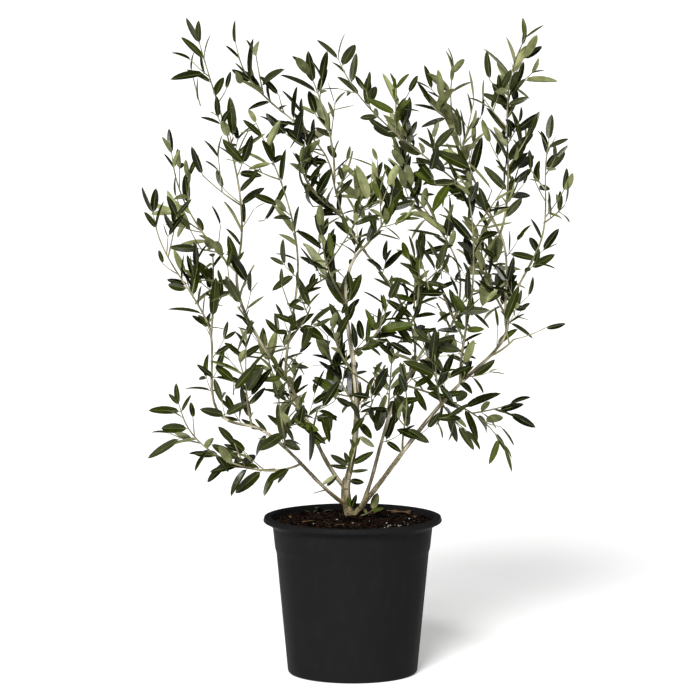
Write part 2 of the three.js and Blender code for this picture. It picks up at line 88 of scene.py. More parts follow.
def rounded(corners, steps=5):
    """A profile of (radius, height, rounding) corners with each rounding drawn as a short arc."""
    points = []
    for i, (x, z, rounding) in enumerate(corners):
        corner = Vector((x, z))
        if rounding == 0.0:
            points.append(corner)
            continue
        before = (Vector(corners[i - 1][:2]) - corner).normalized() * rounding
        after = (Vector(corners[i + 1][:2]) - corner).normalized() * rounding
        for step in range(steps + 1):
            t = step / steps
            points.append(corner + before * (1 - t) ** 2 + after * t ** 2)
    return points


def mesh_piece(name, vertices, faces, materials):
    """A new smooth-shaded mesh object from vertices in millimetres."""
    mesh = bpy.data.meshes.new(name)
    mesh.from_pydata((np.asarray(vertices, float) * MM).tolist(), [], faces)
    mesh.validate()
    mesh.shade_smooth()
    for material in materials:
        mesh.materials.append(material)
    piece = bpy.data.objects.new(name, mesh)
    bpy.context.scene.collection.objects.link(piece)
    return piece


def ringed_faces(rings, sides):
    """Faces of a closed shape with a point at both ends and equal rings of points between them."""
    faces = []
    for k in range(sides):
        after = (k + 1) % sides
        faces.append((0, 1 + after, 1 + k))
        for ring in range(rings - 1):
            low = 1 + ring * sides
            high = low + sides
            faces.append((low + k, low + after, high + after, high + k))
        top = 1 + (rings - 1) * sides
        faces.append((top + k, top + after, top + sides))
    return faces


def turned(profile, segments):
    """Vertices and faces of a closed shape turned about the upright axis.
    Its profile starts and ends on that axis."""
    rings = profile[1:-1]
    vertices = [(0.0, 0.0, profile[0].y)]
    for point in rings:
        for k in range(segments):
            angle = 2.0 * math.pi * k / segments
            vertices.append((point.x * math.cos(angle), point.x * math.sin(angle), point.y))
    vertices.append((0.0, 0.0, profile[-1].y))
    return vertices, ringed_faces(len(rings), segments)


def mottle_group():
    """An uneven mask from 0 to 1, stretched along the axes of the place it is given."""
    group = bpy.data.node_groups.new("mottle", "ShaderNodeTree")
    group.interface.new_socket("Place", in_out="INPUT", socket_type="NodeSocketVector")
    for name, kind, default in (
        ("Stretch", "NodeSocketVector", (1.0, 1.0, 1.0)),
        ("Scale", "NodeSocketFloat", 100.0),
        ("Detail", "NodeSocketFloat", 3.0),
        ("Low", "NodeSocketFloat", 0.4),
        ("High", "NodeSocketFloat", 0.6),
    ):
        socket = group.interface.new_socket(name, in_out="INPUT", socket_type=kind)
        socket.default_value = default
    group.interface.new_socket("Mask", in_out="OUTPUT", socket_type="NodeSocketFloat")
    given = group.nodes.new("NodeGroupInput")
    result = group.nodes.new("NodeGroupOutput")
    mapping = group.nodes.new("ShaderNodeMapping")
    pattern = group.nodes.new("ShaderNodeTexNoise")
    spread = group.nodes.new("ShaderNodeMapRange")
    group.links.new(given.outputs["Place"], mapping.inputs["Vector"])
    group.links.new(given.outputs["Stretch"], mapping.inputs["Scale"])
    group.links.new(mapping.outputs["Vector"], pattern.inputs["Vector"])
    group.links.new(given.outputs["Scale"], pattern.inputs["Scale"])
    group.links.new(given.outputs["Detail"], pattern.inputs["Detail"])
    group.links.new(pattern.outputs["Fac"], spread.inputs["Value"])
    group.links.new(given.outputs["Low"], spread.inputs["From Min"])
    group.links.new(given.outputs["High"], spread.inputs["From Max"])
    group.links.new(spread.outputs["Result"], result.inputs["Mask"])
    return group


MOTTLE = mottle_group()


class Finish:
    """A node-based material that starts as one plain shader and takes masks made by the mottle group.
    Its patterns lie in the object's own space, or follow a vector kept on the mesh."""

    def __init__(self, name, roughness, follows=None, **fixed):
        self.material = bpy.data.materials.new(name)
        self.material.use_nodes = True
        self.tree = self.material.node_tree
        self.shader = self.tree.nodes["Principled BSDF"]
        self.shader.inputs["Roughness"].default_value = roughness
        for socket, value in fixed.items():
            self.shader.inputs[socket.replace("_", " ")].default_value = value
        if follows:
            kept = self.tree.nodes.new("ShaderNodeAttribute")
            kept.attribute_name = follows
            self.place = kept.outputs["Vector"]
        else:
            self.place = self.tree.nodes.new("ShaderNodeTexCoord").outputs["Object"]

    def mask(self, scale, low=0.4, high=0.6, stretch=(1.0, 1.0, 1.0), detail=3.0):
        """A mottle of so many patches to the metre, 0 below one level of the pattern, 1 above another."""
        node = self.tree.nodes.new("ShaderNodeGroup")
        node.node_tree = MOTTLE
        node.inputs["Scale"].default_value = scale
        node.inputs["Low"].default_value = low
        node.inputs["High"].default_value = high
        node.inputs["Stretch"].default_value = stretch
        node.inputs["Detail"].default_value = detail
        self.tree.links.new(self.place, node.inputs["Place"])
        return node.outputs["Mask"]

    def height(self, low, high):
        """0 below one height of the object and 1 above another, in metres."""
        place = self.tree.nodes.new("ShaderNodeTexCoord")
        parts = self.tree.nodes.new("ShaderNodeSeparateXYZ")
        self.tree.links.new(place.outputs["Object"], parts.inputs["Vector"])
        ramp = self.tree.nodes.new("ShaderNodeMapRange")
        ramp.inputs["From Min"].default_value = low
        ramp.inputs["From Max"].default_value = high
        self.tree.links.new(parts.outputs["Z"], ramp.inputs["Value"])
        return ramp.outputs["Result"]

    def mixed(self, mask, first, second):
        """A colour between two, each a plain colour or another node's output."""
        node = self.tree.nodes.new("ShaderNodeMix")
        node.data_type = "RGBA"
        self.tree.links.new(mask, node.inputs["Factor"])
        for socket, colour in (("A", first), ("B", second)):
            target = next(i for i in node.inputs if i.name == socket and i.type == "RGBA")
            if isinstance(colour, tuple):
                target.default_value = (*colour, 1.0)
            else:
                self.tree.links.new(colour, target)
        return next(o for o in node.outputs if o.type == "RGBA")

    def colour(self, output):
        self.tree.links.new(output, self.shader.inputs["Base Color"])

    def roughness(self, mask, low, high):
        node = self.tree.nodes.new("ShaderNodeMapRange")
        node.inputs["To Min"].default_value = low
        node.inputs["To Max"].default_value = high
        self.tree.links.new(mask, node.inputs["Value"])
        self.tree.links.new(node.outputs["Result"], self.shader.inputs["Roughness"])

    def bump(self, height, depth_mm, strength=1.0):
        """Relief of the given depth, added to any relief that the finish has."""
        node = self.tree.nodes.new("ShaderNodeBump")
        node.inputs["Strength"].default_value = strength
        node.inputs["Distance"].default_value = depth_mm * MM
        self.tree.links.new(height, node.inputs["Height"])
        if self.shader.inputs["Normal"].is_linked:
            self.tree.links.new(self.shader.inputs["Normal"].links[0].from_socket, node.inputs["Normal"])
        self.tree.links.new(node.outputs["Normal"], self.shader.inputs["Normal"])


pot_profile = rounded([
    (0.0, FOOT_RECESS, 0.0),
    (FOOT_RADIUS - FOOT_RING, FOOT_RECESS, 1.5),
    (FOOT_RADIUS - FOOT_RING + FOOT_RECESS, 0.0, 1.0),
    (FOOT_RADIUS, 0.0, 6.0),
    (STEP_RADIUS - STEP_IN, STEP_LOW_Z, 3.0),
    (STEP_RADIUS, STEP_Z, 3.0),
    (UNDER_RIM_RADIUS, UNDER_RIM_Z, 4.0),
    (RIM_RADIUS, LIP_Z, 1.2),
    (RIM_RADIUS, RIDGE_Z, 0.5),
    (RIM_RADIUS - 0.7, RIDGE_Z + 0.8, 0.4),
    (RIM_RADIUS - 1.4, POT_TOP, 1.0),
    (MOUTH_RADIUS, POT_TOP, 1.4),
    (UNDER_RIM_RADIUS - POT_WALL, INNER_BEND_Z, 2.0),
    (STEP_RADIUS - POT_WALL, STEP_Z, 2.0),
    (STEP_RADIUS - STEP_IN - POT_WALL, STEP_LOW_Z, 2.0),
    (FOOT_RADIUS - POT_WALL, FLOOR_THICKNESS + FOOT_RECESS, 3.0),
    (0.0, FLOOR_THICKNESS + FOOT_RECESS, 0.0),
])
plastic = Finish("black_moulded_plastic", 0.5, Specular_IOR_Level=0.02)
streaks = plastic.mask(26.0, 0.35, 0.7, (1.0, 1.0, 0.12), 4.0)
dust = plastic.mask(55.0, 0.52, 0.78, (1.0, 1.0, 0.5), 6.0)
plastic.colour(plastic.mixed(dust, (0.0093, 0.0093, 0.0094), (0.0113, 0.0112, 0.0110)))
plastic.roughness(streaks, 0.46, 0.6)
plastic.bump(plastic.mask(1500.0, 0.3, 0.7, detail=2.0), 0.05, 0.5)
plastic.bump(plastic.mask(18.0, 0.3, 0.7, (1.0, 1.0, 0.3), 2.0), 0.5, 0.2)
pot = mesh_piece("pot_shell", *turned(pot_profile, POT_SEGMENTS), [plastic.material])
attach(pot, "root")
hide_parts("pot")

# The potting mix. Coarse, moist composted bark that nearly fills the pot, heaped a little round the trunk,
# with dark chips, a few paler wood flecks and grains of white perlite lying on it.
MIX_LOW, MIX_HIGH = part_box("potting_mix")
MIX_TOP = MIX_HIGH.z / MM
MIX_EDGE = POT_TOP - 8.0
MIX_RADIUS = MIX_HIGH.x / MM - 0.4
CHIPS_RADIUS = MIX_RADIUS - 7.0
MIX_RINGS = 64
MIX_SEGMENTS = 200
MIX_GAP = 0.6
MIX_SETTLED = 1.0
MIX_FOOT_IN = 6.0
CLODS = {"layer": 0.0, "size": 17.0, "rise": 3.2}
CRUMBS = {"layer": 40.0, "size": 4.5, "rise": 1.3}
GRIT = {"layer": 80.0, "size": 1.9, "rise": 0.65}
FOOT_HEAP = {"middle": 2.0, "rise": 8.0, "level": 12.0, "fade": 14.0}


def uneven(x, y, lumps):
    """The rise or fall that lumps of one size give here."""
    return noise.noise(Vector((x, y, lumps["layer"])) / lumps["size"]) * lumps["rise"]


def mix_height(x, y):
    """The uneven top of the mix, kept near the solid's gentle mound, with a low heap round the trunk."""
    out = min(math.hypot(x, y) / MIX_RADIUS, 1.0)
    mound = MIX_EDGE + (MIX_TOP - MIX_EDGE) * (1.0 - out) - MIX_SETTLED
    from_heap = max(0.0, math.hypot(x - FOOT_HEAP["middle"], y) - FOOT_HEAP["level"])
    heap = FOOT_HEAP["rise"] * math.exp(-(from_heap / FOOT_HEAP["fade"]) ** 2)
    return mound + uneven(x, y, CLODS) + uneven(x, y, CRUMBS) + uneven(x, y, GRIT) + heap


mix_profile = [Vector(point) for point in (
    (0.0, MIX_LOW.z / MM),
    (FOOT_RADIUS - POT_WALL - MIX_FOOT_IN, MIX_LOW.z / MM),
    (STEP_RADIUS - STEP_IN - POT_WALL - MIX_GAP, STEP_LOW_Z),
    (UNDER_RIM_RADIUS - POT_WALL - MIX_GAP, INNER_BEND_Z - MIX_SETTLED),
)]
mix_profile += [Vector((MIX_RADIUS * (1.0 - ring / MIX_RINGS), MIX_EDGE)) for ring in range(MIX_RINGS)]
mix_profile.append(Vector((0.0, MIX_EDGE)))
mix_vertices, mix_faces = turned(mix_profile, MIX_SEGMENTS)
on_top = MIX_EDGE - 0.1
mix_vertices = [(x, y, mix_height(x, y)) if z > on_top else (x, y, z) for x, y, z in mix_vertices]

earth = Finish("moist_potting_mix", 0.95, Specular_IOR_Level=0.02)
damp = earth.mask(60.0, 0.35, 0.65, detail=5.0)
# Paler crumbs on the raised places and dark brown in the low places between them, from one mask: the
# crumbs' own colour, and painted shade in the gaps.
crumbs_and_gap_shade = earth.mask(650.0, 0.4, 0.62, detail=4.0)
brown = earth.mixed(damp, (0.0003, 0.0002, 0.0002), (0.0018, 0.0009, 0.0006))
earth.colour(earth.mixed(crumbs_and_gap_shade, brown, (0.0062, 0.0032, 0.002)))
earth.bump(crumbs_and_gap_shade, 1.2)
mix = mesh_piece("potting_mix_surface", mix_vertices, mix_faces, [earth.material])


def in_place_of_mix(piece):
    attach(piece, "root")
    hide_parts("potting_mix")


in_place_of_mix(mix)
FACES_UP = 0.5
CHIP_LUMPS = 450.0
CHIP_ROUGHNESS = 0.004
MOST_TILT = 0.5


def chip_tree():
    """Rough flattened chips strewn over the top faces of a surface, as one plain mesh."""
    tree = bpy.data.node_groups.new("strewn_chips", "GeometryNodeTree")
    tree.interface.new_socket("Surface", in_out="INPUT", socket_type="NodeSocketGeometry")
    for name, kind in (
        ("Per Square Metre", "NodeSocketFloat"),
        ("Smallest", "NodeSocketVector"),
        ("Largest", "NodeSocketVector"),
        ("Seed", "NodeSocketInt"),
        ("Material", "NodeSocketMaterial"),
    ):
        tree.interface.new_socket(name, in_out="INPUT", socket_type=kind)
    tree.interface.new_socket("Chips", in_out="OUTPUT", socket_type="NodeSocketGeometry")
    make, link = tree.nodes.new, tree.links.new
    given = make("NodeGroupInput")
    facing = make("GeometryNodeInputNormal")
    upward = make("ShaderNodeSeparateXYZ")
    is_top = make("FunctionNodeCompare")
    is_top.inputs["B"].default_value = FACES_UP
    where = make("GeometryNodeInputPosition")
    level = make("ShaderNodeVectorMath")
    level.operation = "MULTIPLY"
    level.inputs[1].default_value = (1.0, 1.0, 0.0)
    off_axis = make("ShaderNodeVectorMath")
    off_axis.operation = "LENGTH"
    is_inner = make("FunctionNodeCompare")
    is_inner.operation = "LESS_THAN"
    is_inner.inputs["B"].default_value = CHIPS_RADIUS * MM
    chosen = make("FunctionNodeBooleanMath")
    scatter = make("GeometryNodeDistributePointsOnFaces")
    ball = make("GeometryNodeMeshIcoSphere")
    ball.inputs["Radius"].default_value = 0.5
    ball.inputs["Subdivisions"].default_value = 1
    strew = make("GeometryNodeInstanceOnPoints")
    sizes = make("FunctionNodeRandomValue")
    sizes.data_type = "FLOAT_VECTOR"
    turns = make("FunctionNodeRandomValue")
    turns.data_type = "FLOAT_VECTOR"
    turns.inputs["Min"].default_value = (-MOST_TILT, -MOST_TILT, 0.0)
    turns.inputs["Max"].default_value = (MOST_TILT, MOST_TILT, 2.0 * math.pi)
    realize = make("GeometryNodeRealizeInstances")
    roughen = make("GeometryNodeSetPosition")
    wobble = make("ShaderNodeTexNoise")
    wobble.noise_dimensions = "3D"
    wobble.inputs["Scale"].default_value = CHIP_LUMPS
    centred = make("ShaderNodeVectorMath")
    centred.operation = "SUBTRACT"
    centred.inputs[1].default_value = (0.5, 0.5, 0.5)
    reach = make("ShaderNodeVectorMath")
    reach.operation = "SCALE"
    reach.inputs["Scale"].default_value = CHIP_ROUGHNESS
    paint = make("GeometryNodeSetMaterial")
    result = make("NodeGroupOutput")
    link(facing.outputs["Normal"], upward.inputs["Vector"])
    link(upward.outputs["Z"], is_top.inputs["A"])
    link(given.outputs["Surface"], scatter.inputs["Mesh"])
    link(where.outputs["Position"], level.inputs[0])
    link(level.outputs["Vector"], off_axis.inputs[0])
    link(off_axis.outputs["Value"], is_inner.inputs["A"])
    link(is_top.outputs["Result"], chosen.inputs[0])
    link(is_inner.outputs["Result"], chosen.inputs[1])
    link(chosen.outputs["Boolean"], scatter.inputs["Selection"])
    link(given.outputs["Per Square Metre"], scatter.inputs["Density"])
    link(given.outputs["Seed"], scatter.inputs["Seed"])
    link(scatter.outputs["Points"], strew.inputs["Points"])
    link(ball.outputs["Mesh"], strew.inputs["Instance"])
    link(given.outputs["Smallest"], sizes.inputs["Min"])
    link(given.outputs["Largest"], sizes.inputs["Max"])
    link(given.outputs["Seed"], sizes.inputs["Seed"])
    link(given.outputs["Seed"], turns.inputs["Seed"])
    link(sizes.outputs["Value"], strew.inputs["Scale"])
    link(turns.outputs["Value"], strew.inputs["Rotation"])
    link(strew.outputs["Instances"], realize.inputs["Geometry"])
    link(wobble.outputs["Color"], centred.inputs[0])
    link(centred.outputs["Vector"], reach.inputs[0])
    link(realize.outputs["Geometry"], roughen.inputs["Geometry"])
    link(reach.outputs["Vector"], roughen.inputs["Offset"])
    link(roughen.outputs["Geometry"], paint.inputs["Geometry"])
    link(given.outputs["Material"], paint.inputs["Material"])
    link(paint.outputs["Geometry"], result.inputs["Chips"])
    return tree


CHIPS = chip_tree()


def strewn(name, surface, **values):
    """The chips of one kind as a plain mesh piece."""
    holder = bpy.data.objects.new(name + "_maker", surface.data)
    bpy.context.scene.collection.objects.link(holder)
    modifier = holder.modifiers.new("chips", "NODES")
    modifier.node_group = CHIPS
    for item in CHIPS.interface.items_tree:
        wanted = item.name.replace(" ", "_").lower()
        if item.in_out == "INPUT" and wanted in values:
            modifier[item.identifier] = values[wanted]
    graph = bpy.context.evaluated_depsgraph_get()
    mesh = bpy.data.meshes.new_from_object(holder.evaluated_get(graph), depsgraph=graph)
    holder.modifiers.remove(modifier)
    bpy.data.objects.remove(holder)
    mesh.name = name
    mesh.shade_flat()
    piece = bpy.data.objects.new(name, mesh)
    bpy.context.scene.collection.objects.link(piece)
    in_place_of_mix(piece)


def chip_finish(name, dark, light, roughness):
    """A dry, rough face in two tones, for bark, wood and perlite."""
    finish = Finish(name, roughness, Specular_IOR_Level=0.05)
    finish.colour(finish.mixed(finish.mask(90.0, 0.42, 0.58, detail=2.0), dark, light))
    finish.bump(finish.mask(1400.0, 0.35, 0.65), 0.3)
    return finish.material


strewn(
    "bark_chips", mix, per_square_metre=42000.0, seed=3,
    smallest=(0.003, 0.002, 0.001), largest=(0.012, 0.006, 0.004),
    material=chip_finish("bark_chip", (0.0008, 0.0005, 0.0004), (0.018, 0.009, 0.0053), 0.9),
)
strewn(
    "wood_flecks", mix, per_square_metre=1800.0, seed=8,
    smallest=(0.003, 0.001, 0.001), largest=(0.010, 0.003, 0.002),
    material=chip_finish("wood_fleck", (0.045, 0.027, 0.016), (0.13, 0.08, 0.048), 0.85),
)
strewn(
    "perlite_grains", mix, per_square_metre=800.0, seed=21,
    smallest=(0.0015, 0.0015, 0.0015), largest=(0.0035, 0.003, 0.0028),
    material=chip_finish("perlite", (0.36, 0.34, 0.30), (0.58, 0.56, 0.52), 0.8),
)

# The tree's framework. Each row is a limb: its name, what carries it, the share of the carrier where it
# starts, its tip, the way it leaves and the way it arrives, as the lean from upright towards the right and
# the turn from there towards the back, and its radius at both ends, or the seed of a mass of foliage.
LIMB_GAP = 0.3
TRUNK = {
    "foot": (1.0, 0.0), "below": 8.0, "fork": (-9.0, 2.0, 328.0),
    "leaves": (-22.0, 0.0), "arrives": (16.0, 0.0),
    "radius": (9.4, 7.4), "flare": 4.0, "fade": 10.0,
}
BOUGHS = (
    ("bough_centre_lower", "trunk", 1, (2, -6, 521), None, (-7, -4), (5.6, 4.2)),
    ("bough_centre_upper", "bough_centre_lower", 1, (16, -14, 717), None, (46, -6), (4.2, 2.3)),
    ("bough_left_low", "trunk", 0.4, (-151, -38, 416), (-56, -18), (-58, -4), (3.5, 2.6)),
    ("bough_left_mid", "trunk", 0.78, (-117, 12, 504), (-44, 14), (-35, 0), (3.9, 3)),
    ("bough_left_high", "bough_left_mid", 1, (-192, 26, 690), None, (12, 0), (3, 2)),
    ("bough_left_inner", "bough_left_mid", 0.96, (-91, -34, 680), (-2, -24), (2, -6), (2.4, 1.7)),
    ("bough_left_far", "bough_left_low", 1, (-207, -44, 433), None, (-62, 0), (2.5, 2.2)),
    ("bough_left_rise", "bough_left_far", 1, (-242, -30, 596), None, (-24, 4), (2.2, 1.7)),
    ("bough_right_front", "trunk", 0.12, (186, -46, 502), (38, -34), (46, 0), (4.6, 3.2)),
    ("bough_right_bend", "bough_right_front", 1, (259, -24, 596), None, (2, 4), (3, 2.4)),
    ("bough_right_upright", "bough_right_front", 0.97, (199, -72, 677), (-4, -20), (2, -4), (2.4, 1.7)),
    ("bough_right_outer", "bough_right_bend", 1, (309, -30, 722), None, (22, 0), (2.2, 1.6)),
    ("bough_right_inner", "bough_right_bend", 0.88, (241, 14, 751), (-10, 34), (-32, -6), (2.3, 1.8)),
    ("bough_right_back", "bough_right_front", 0.1, (121, 34, 524), (30, 40), (52, 0), (3.4, 2.6)),
    ("bough_back_upright", "bough_right_back", 1, (178, 52, 680), None, (-14, 2), (2.5, 1.7)),
    ("bough_back_inner", "bough_right_back", 0.86, (16, 24, 714), (28, 8), (-40, -4), (2.3, 1.8)),
    ("bough_upper_left", "bough_back_inner", 1, (-34, 12, 840), None, (-10, -4), (1.8, 1.5)),
)
MASSES = (
    ("foliage_left_edge", "bough_left_rise", 1, (-326, -38, 756), None, (-12, 0), 11),
    ("foliage_left_edge_back", "bough_left_rise", 0.86, (-236, 50, 716), (4, 40), (-4, 4), 12),
    ("foliage_left_rising", "bough_left_far", 0.3, (-176, -86, 560), (-14, -24), (2, -4), 13),
    ("foliage_left_low", "bough_left_low", 0.56, (-282, -52, 440), (-118, -8), (-18, 0), 14),
    ("foliage_left_crown", "bough_left_high", 1, (-248, 6, 1036), None, (-16, 0), 15),
    ("foliage_left_outer", "bough_left_high", 0.92, (-300, 46, 850), (-46, 16), (-8, 0), 16),
    ("foliage_left_high_front", "bough_left_high", 0.45, (-204, -64, 668), (-25, -40), (-6, 0), 38),
    ("foliage_left_high_back", "bough_left_high", 0.7, (-146, 92, 740), (6, 45), (4, 0), 39),
    ("foliage_left_centre", "bough_left_inner", 1, (-150, -54, 908), None, (-24, 0), 17),
    ("foliage_left_inner_front", "bough_left_inner", 0.35, (-66, -88, 648), (28, -30), (4, 0), 40),
    ("foliage_left_mid_front", "bough_left_mid", 0.5, (-54, -50, 486), (6, -42), (4, 0), 18),
    ("foliage_left_mid_back", "bough_left_mid", 0.62, (-142, 82, 520), (-45, 40), (-10, 0), 41),
    ("foliage_left_low_front", "bough_left_low", 0.75, (-122, -96, 474), (0, -45), (-6, 0), 42),
    ("foliage_top_left", "bough_upper_left", 1, (-188, -20, 1036), None, (-14, 0), 19),
    ("foliage_top_left_back", "bough_upper_left", 0.88, (-66, 36, 994), (4, 20), (-22, 0), 20),
    ("foliage_top_left_front", "bough_upper_left", 0.78, (-2, -34, 954), (34, -24), (-14, 0), 21),
    ("foliage_upper_front", "bough_upper_left", 0.4, (-84, -56, 856), (-40, -30), (-10, 0), 43),
    ("foliage_upper_back", "bough_upper_left", 0.25, (42, 84, 836), (20, 40), (0, 0), 44),
    ("foliage_centre", "bough_centre_upper", 1, (64, -44, 808), None, (4, 0), 22),
    ("foliage_centre_left", "bough_centre_upper", 0.5, (-50, -72, 744), (-30, -40), (0, 0), 23),
    ("foliage_centre_back", "bough_centre_upper", 0.42, (-42, 84, 690), (-16, 52), (0, 4), 24),
    ("foliage_centre_low_left", "bough_centre_lower", 0.93, (-36, -40, 610), (-44, -20), (-4, 0), 25),
    ("foliage_centre_low_right", "bough_centre_upper", 0.08, (54, -66, 616), (52, -26), (16, 0), 26),
    ("foliage_centre_foot", "bough_centre_lower", 0.45, (36, -78, 492), (24, -45), (0, 0), 45),
    ("foliage_centre_foot_back", "bough_centre_lower", 0.62, (-40, 66, 540), (-30, 45), (-6, 0), 46),
    ("foliage_right_back", "bough_back_upright", 1, (82, 66, 866), None, (-4, 0), 27),
    ("foliage_right_back_mid", "bough_back_upright", 0.4, (126, 100, 660), (-20, 40), (-8, 0), 28),
    ("foliage_right_back_low", "bough_right_back", 0.55, (66, 98, 512), (6, 48), (4, 0), 47),
    ("foliage_right_mid", "bough_back_inner", 0.4, (112, -26, 700), (28, -36), (4, 0), 29),
    ("foliage_top_centre", "bough_right_inner", 1, (-14, -22, 1012), None, (-26, 2), 30),
    ("foliage_top_right_back", "bough_right_inner", 0.84, (166, 52, 996), (-22, 28), (8, 0), 31),
    ("foliage_top_right", "bough_right_inner", 0.93, (276, -8, 1046), (18, -16), (24, 0), 32),
    ("foliage_right_edge", "bough_right_outer", 1, (322, -24, 876), None, (8, 0), 33),
    ("foliage_right_inner_back", "bough_right_inner", 0.16, (216, 82, 720), (-30, 34), (-6, 0), 34),
    ("foliage_right_upright", "bough_right_upright", 1, (192, -90, 800), None, (-10, 0), 35),
    ("foliage_right_upright_front", "bough_right_upright", 0.42, (146, -112, 676), (-26, -28), (-4, 0), 48),
    ("foliage_right_bend", "bough_right_bend", 0.45, (286, -76, 612), (62, -34), (8, 0), 49),
    ("foliage_right_low", "bough_right_back", 0.8, (240, 18, 402), (108, 16), (142, 0), 36),
    ("foliage_right_front_low", "bough_right_front", 0.5, (88, -92, 486), (-8, -36), (-8, 0), 37),
    ("foliage_right_front_mid", "bough_right_front", 0.82, (134, -112, 560), (-14, -36), (-4, 0), 50),
)
BOUGH_STRETCH = 30.0
STEM_RADIUS = 1.8
STEM_TIP_RADIUS = 1.1
CURVE_STEPS = 200
SEAT_STEP = 0.1
SEAT_POINTS = 3
TWIG_STRETCH = 54.0
UP = np.array((0.0, 0.0, 1.0))
FLAT_SIDES = [math.radians(side) for side in (30.0, 150.0, 270.0)]


def unit(vector):
    return vector / np.linalg.norm(vector)


def heading(way):
    """The direction of a lean from upright towards the right, turned on towards the back."""
    lean, back = (math.radians(angle) for angle in way)
    return np.array((math.sin(lean) * math.cos(back), math.sin(back), math.cos(lean) * math.cos(back)))


class Bow:
    """A smooth curve that starts and ends along given directions."""

    def __init__(self, start, end, leaves, arrives):
        pull = np.linalg.norm(end - start) / 3.0
        self.corners = np.array((start, start + leaves * pull, end - arrives * pull, end))
        points = self.points(CURVE_STEPS)
        self.length = float(np.linalg.norm(points[1:] - points[:-1], axis=1).sum())
        chord = end - start
        sideways = abs(chord[1]) >= math.hypot(chord[0], chord[2])
        self.reference = np.array((1.0, 0.0, 0.0) if sideways else (0.0, 1.0, 0.0))

    def at(self, share):
        rest = 1.0 - share
        weights = (rest ** 3, 3 * rest ** 2 * share, 3 * rest * share ** 2, share ** 3)
        return np.array(weights) @ self.corners

    def run(self, share):
        rest = 1.0 - share
        weights = np.array((rest ** 2, 2 * rest * share, share ** 2))
        return unit(weights @ (self.corners[1:] - self.corners[:-1]))

    def points(self, steps):
        return np.array([self.at(i / steps) for i in range(steps + 1)])


def square_to(along, reference):
    """Two directions square to a limb and to each other."""
    across = unit(np.cross(reference, along))
    return across, np.cross(across, along)


def between(ends, share):
    """The value at a share of the way from one end to the other."""
    return ends[0] + (ends[1] - ends[0]) * share


def straight_taper(radii):
    return lambda share: between(radii, share)


class Limb:
    """A limb of the framework, on the same curve and straight stretches as its solid."""

    def __init__(self, name, curve, radius_at, stretch):
        self.name = name
        self.radius_at = radius_at
        self.stretch = stretch
        self.shape(curve)

    def shape(self, curve):
        self.curve = curve
        self.length = curve.length
        self.line = curve.points(max(1, int(self.length / self.stretch + 0.5)))


limbs = {}


def grow(row, radius_at, stretch):
    """A limb made from its row. One that grows on from its carrier's tip starts a small gap beyond it."""
    name, on, share, tip, leaves, arrives, _ = row
    carrier = limbs[on].curve
    start = carrier.at(share)
    way = carrier.run(1.0) if share == 1 else heading(leaves)
    if share == 1:
        start = start + way * LIMB_GAP
    limb = Limb(name, Bow(start, np.array(tip, float), way, heading(arrives)), radius_at, stretch)
    limb.carrier = limbs[on]
    limb.onward = share == 1
    limbs[name] = limb
    return limb


trunk_foot = MIX_TOP - TRUNK["below"]
trunk_length = TRUNK["fork"][2] - trunk_foot
trunk_taper = straight_taper(TRUNK["radius"])


def trunk_radius(share):
    """The trunk's taper with its root flare."""
    return trunk_taper(share) + TRUNK["flare"] * math.exp(-share * trunk_length / TRUNK["fade"])


trunk_start = np.array((*TRUNK["foot"], trunk_foot))
trunk_curve = Bow(trunk_start, np.array(TRUNK["fork"]), heading(TRUNK["leaves"]), heading(TRUNK["arrives"]))
limbs["trunk"] = Limb("trunk", trunk_curve, trunk_radius, BOUGH_STRETCH)
limbs["trunk"].onward = False
for row in BOUGHS:
    grow(row, straight_taper(row[-1]), BOUGH_STRETCH)
boughs = list(limbs.values())
stems = [grow(row, straight_taper((STEM_RADIUS, STEM_TIP_RADIUS)), TWIG_STRETCH) for row in MASSES]
for stem, row in zip(stems, MASSES):
    stem.seed = row[-1]


def clearance(point, limb):
    """How far a point is outside a limb's round surface."""
    last = len(limb.line) - 1
    least = math.inf
    for i in range(last):
        stretch = limb.line[i + 1] - limb.line[i]
        share = min(1.0, max(0.0, float((point - limb.line[i]) @ stretch) / float(stretch @ stretch)))
        away = np.linalg.norm(limb.line[i] + stretch * share - point)
        least = min(least, away - limb.radius_at((i + share) / last))
    return least


def seat_points(curve, share):
    """The corners of a stem's three-sided end and the middles of its edges."""
    across, over = square_to(curve.run(share), curve.reference)
    corners = [
        curve.at(share) + STEM_RADIUS * (across * math.sin(turn) + over * math.cos(turn))
        for turn in (0.0, 2.0 * math.pi / 3.0, 4.0 * math.pi / 3.0)
    ]
    return corners + [(corners[i] + corners[(i + 1) % 3]) / 2.0 for i in range(3)]


for stem in stems:
    stem.root_line = [stem.carrier.curve.at(1.0)]
    if stem.onward:
        continue
    whole = stem.curve
    share = 0.0
    while any(clearance(point, stem.carrier) < LIMB_GAP for point in seat_points(whole, share)):
        share += SEAT_STEP / stem.length
    stem.root_line = [whole.at(share * part / SEAT_POINTS) for part in range(SEAT_POINTS)]
    tip = whole.at(1.0)
    stem.shape(Bow(whole.at(share), tip, whole.run(share), whole.run(1.0)))

# Trunk and older boughs. Smooth young olive bark, grey-beige over olive, with corky lenticels and low
# ridges, on wood that swells into a collar where a limb leaves it. One skin covers all the forks.
OLD_RADIUS = 2.2
TUBE_STEP = 3.0
COLLAR_SWELL = 0.28
COLLAR_FADE = 9.0
OLD_SIDES = 20
OLD_RUNS_BACK = 3.0
ROUND_END = 0.5
SKIN_VOXEL = 1.0
SOFT_FORKS = {"factor": 0.5, "rounds": 5}
GRAIN_SHIFT = 7.0


def grain_start(place):
    """Where the bark's pattern starts on a limb, so that no two limbs show the same stretch of it."""
    return GRAIN_SHIFT * float(np.sum(place))


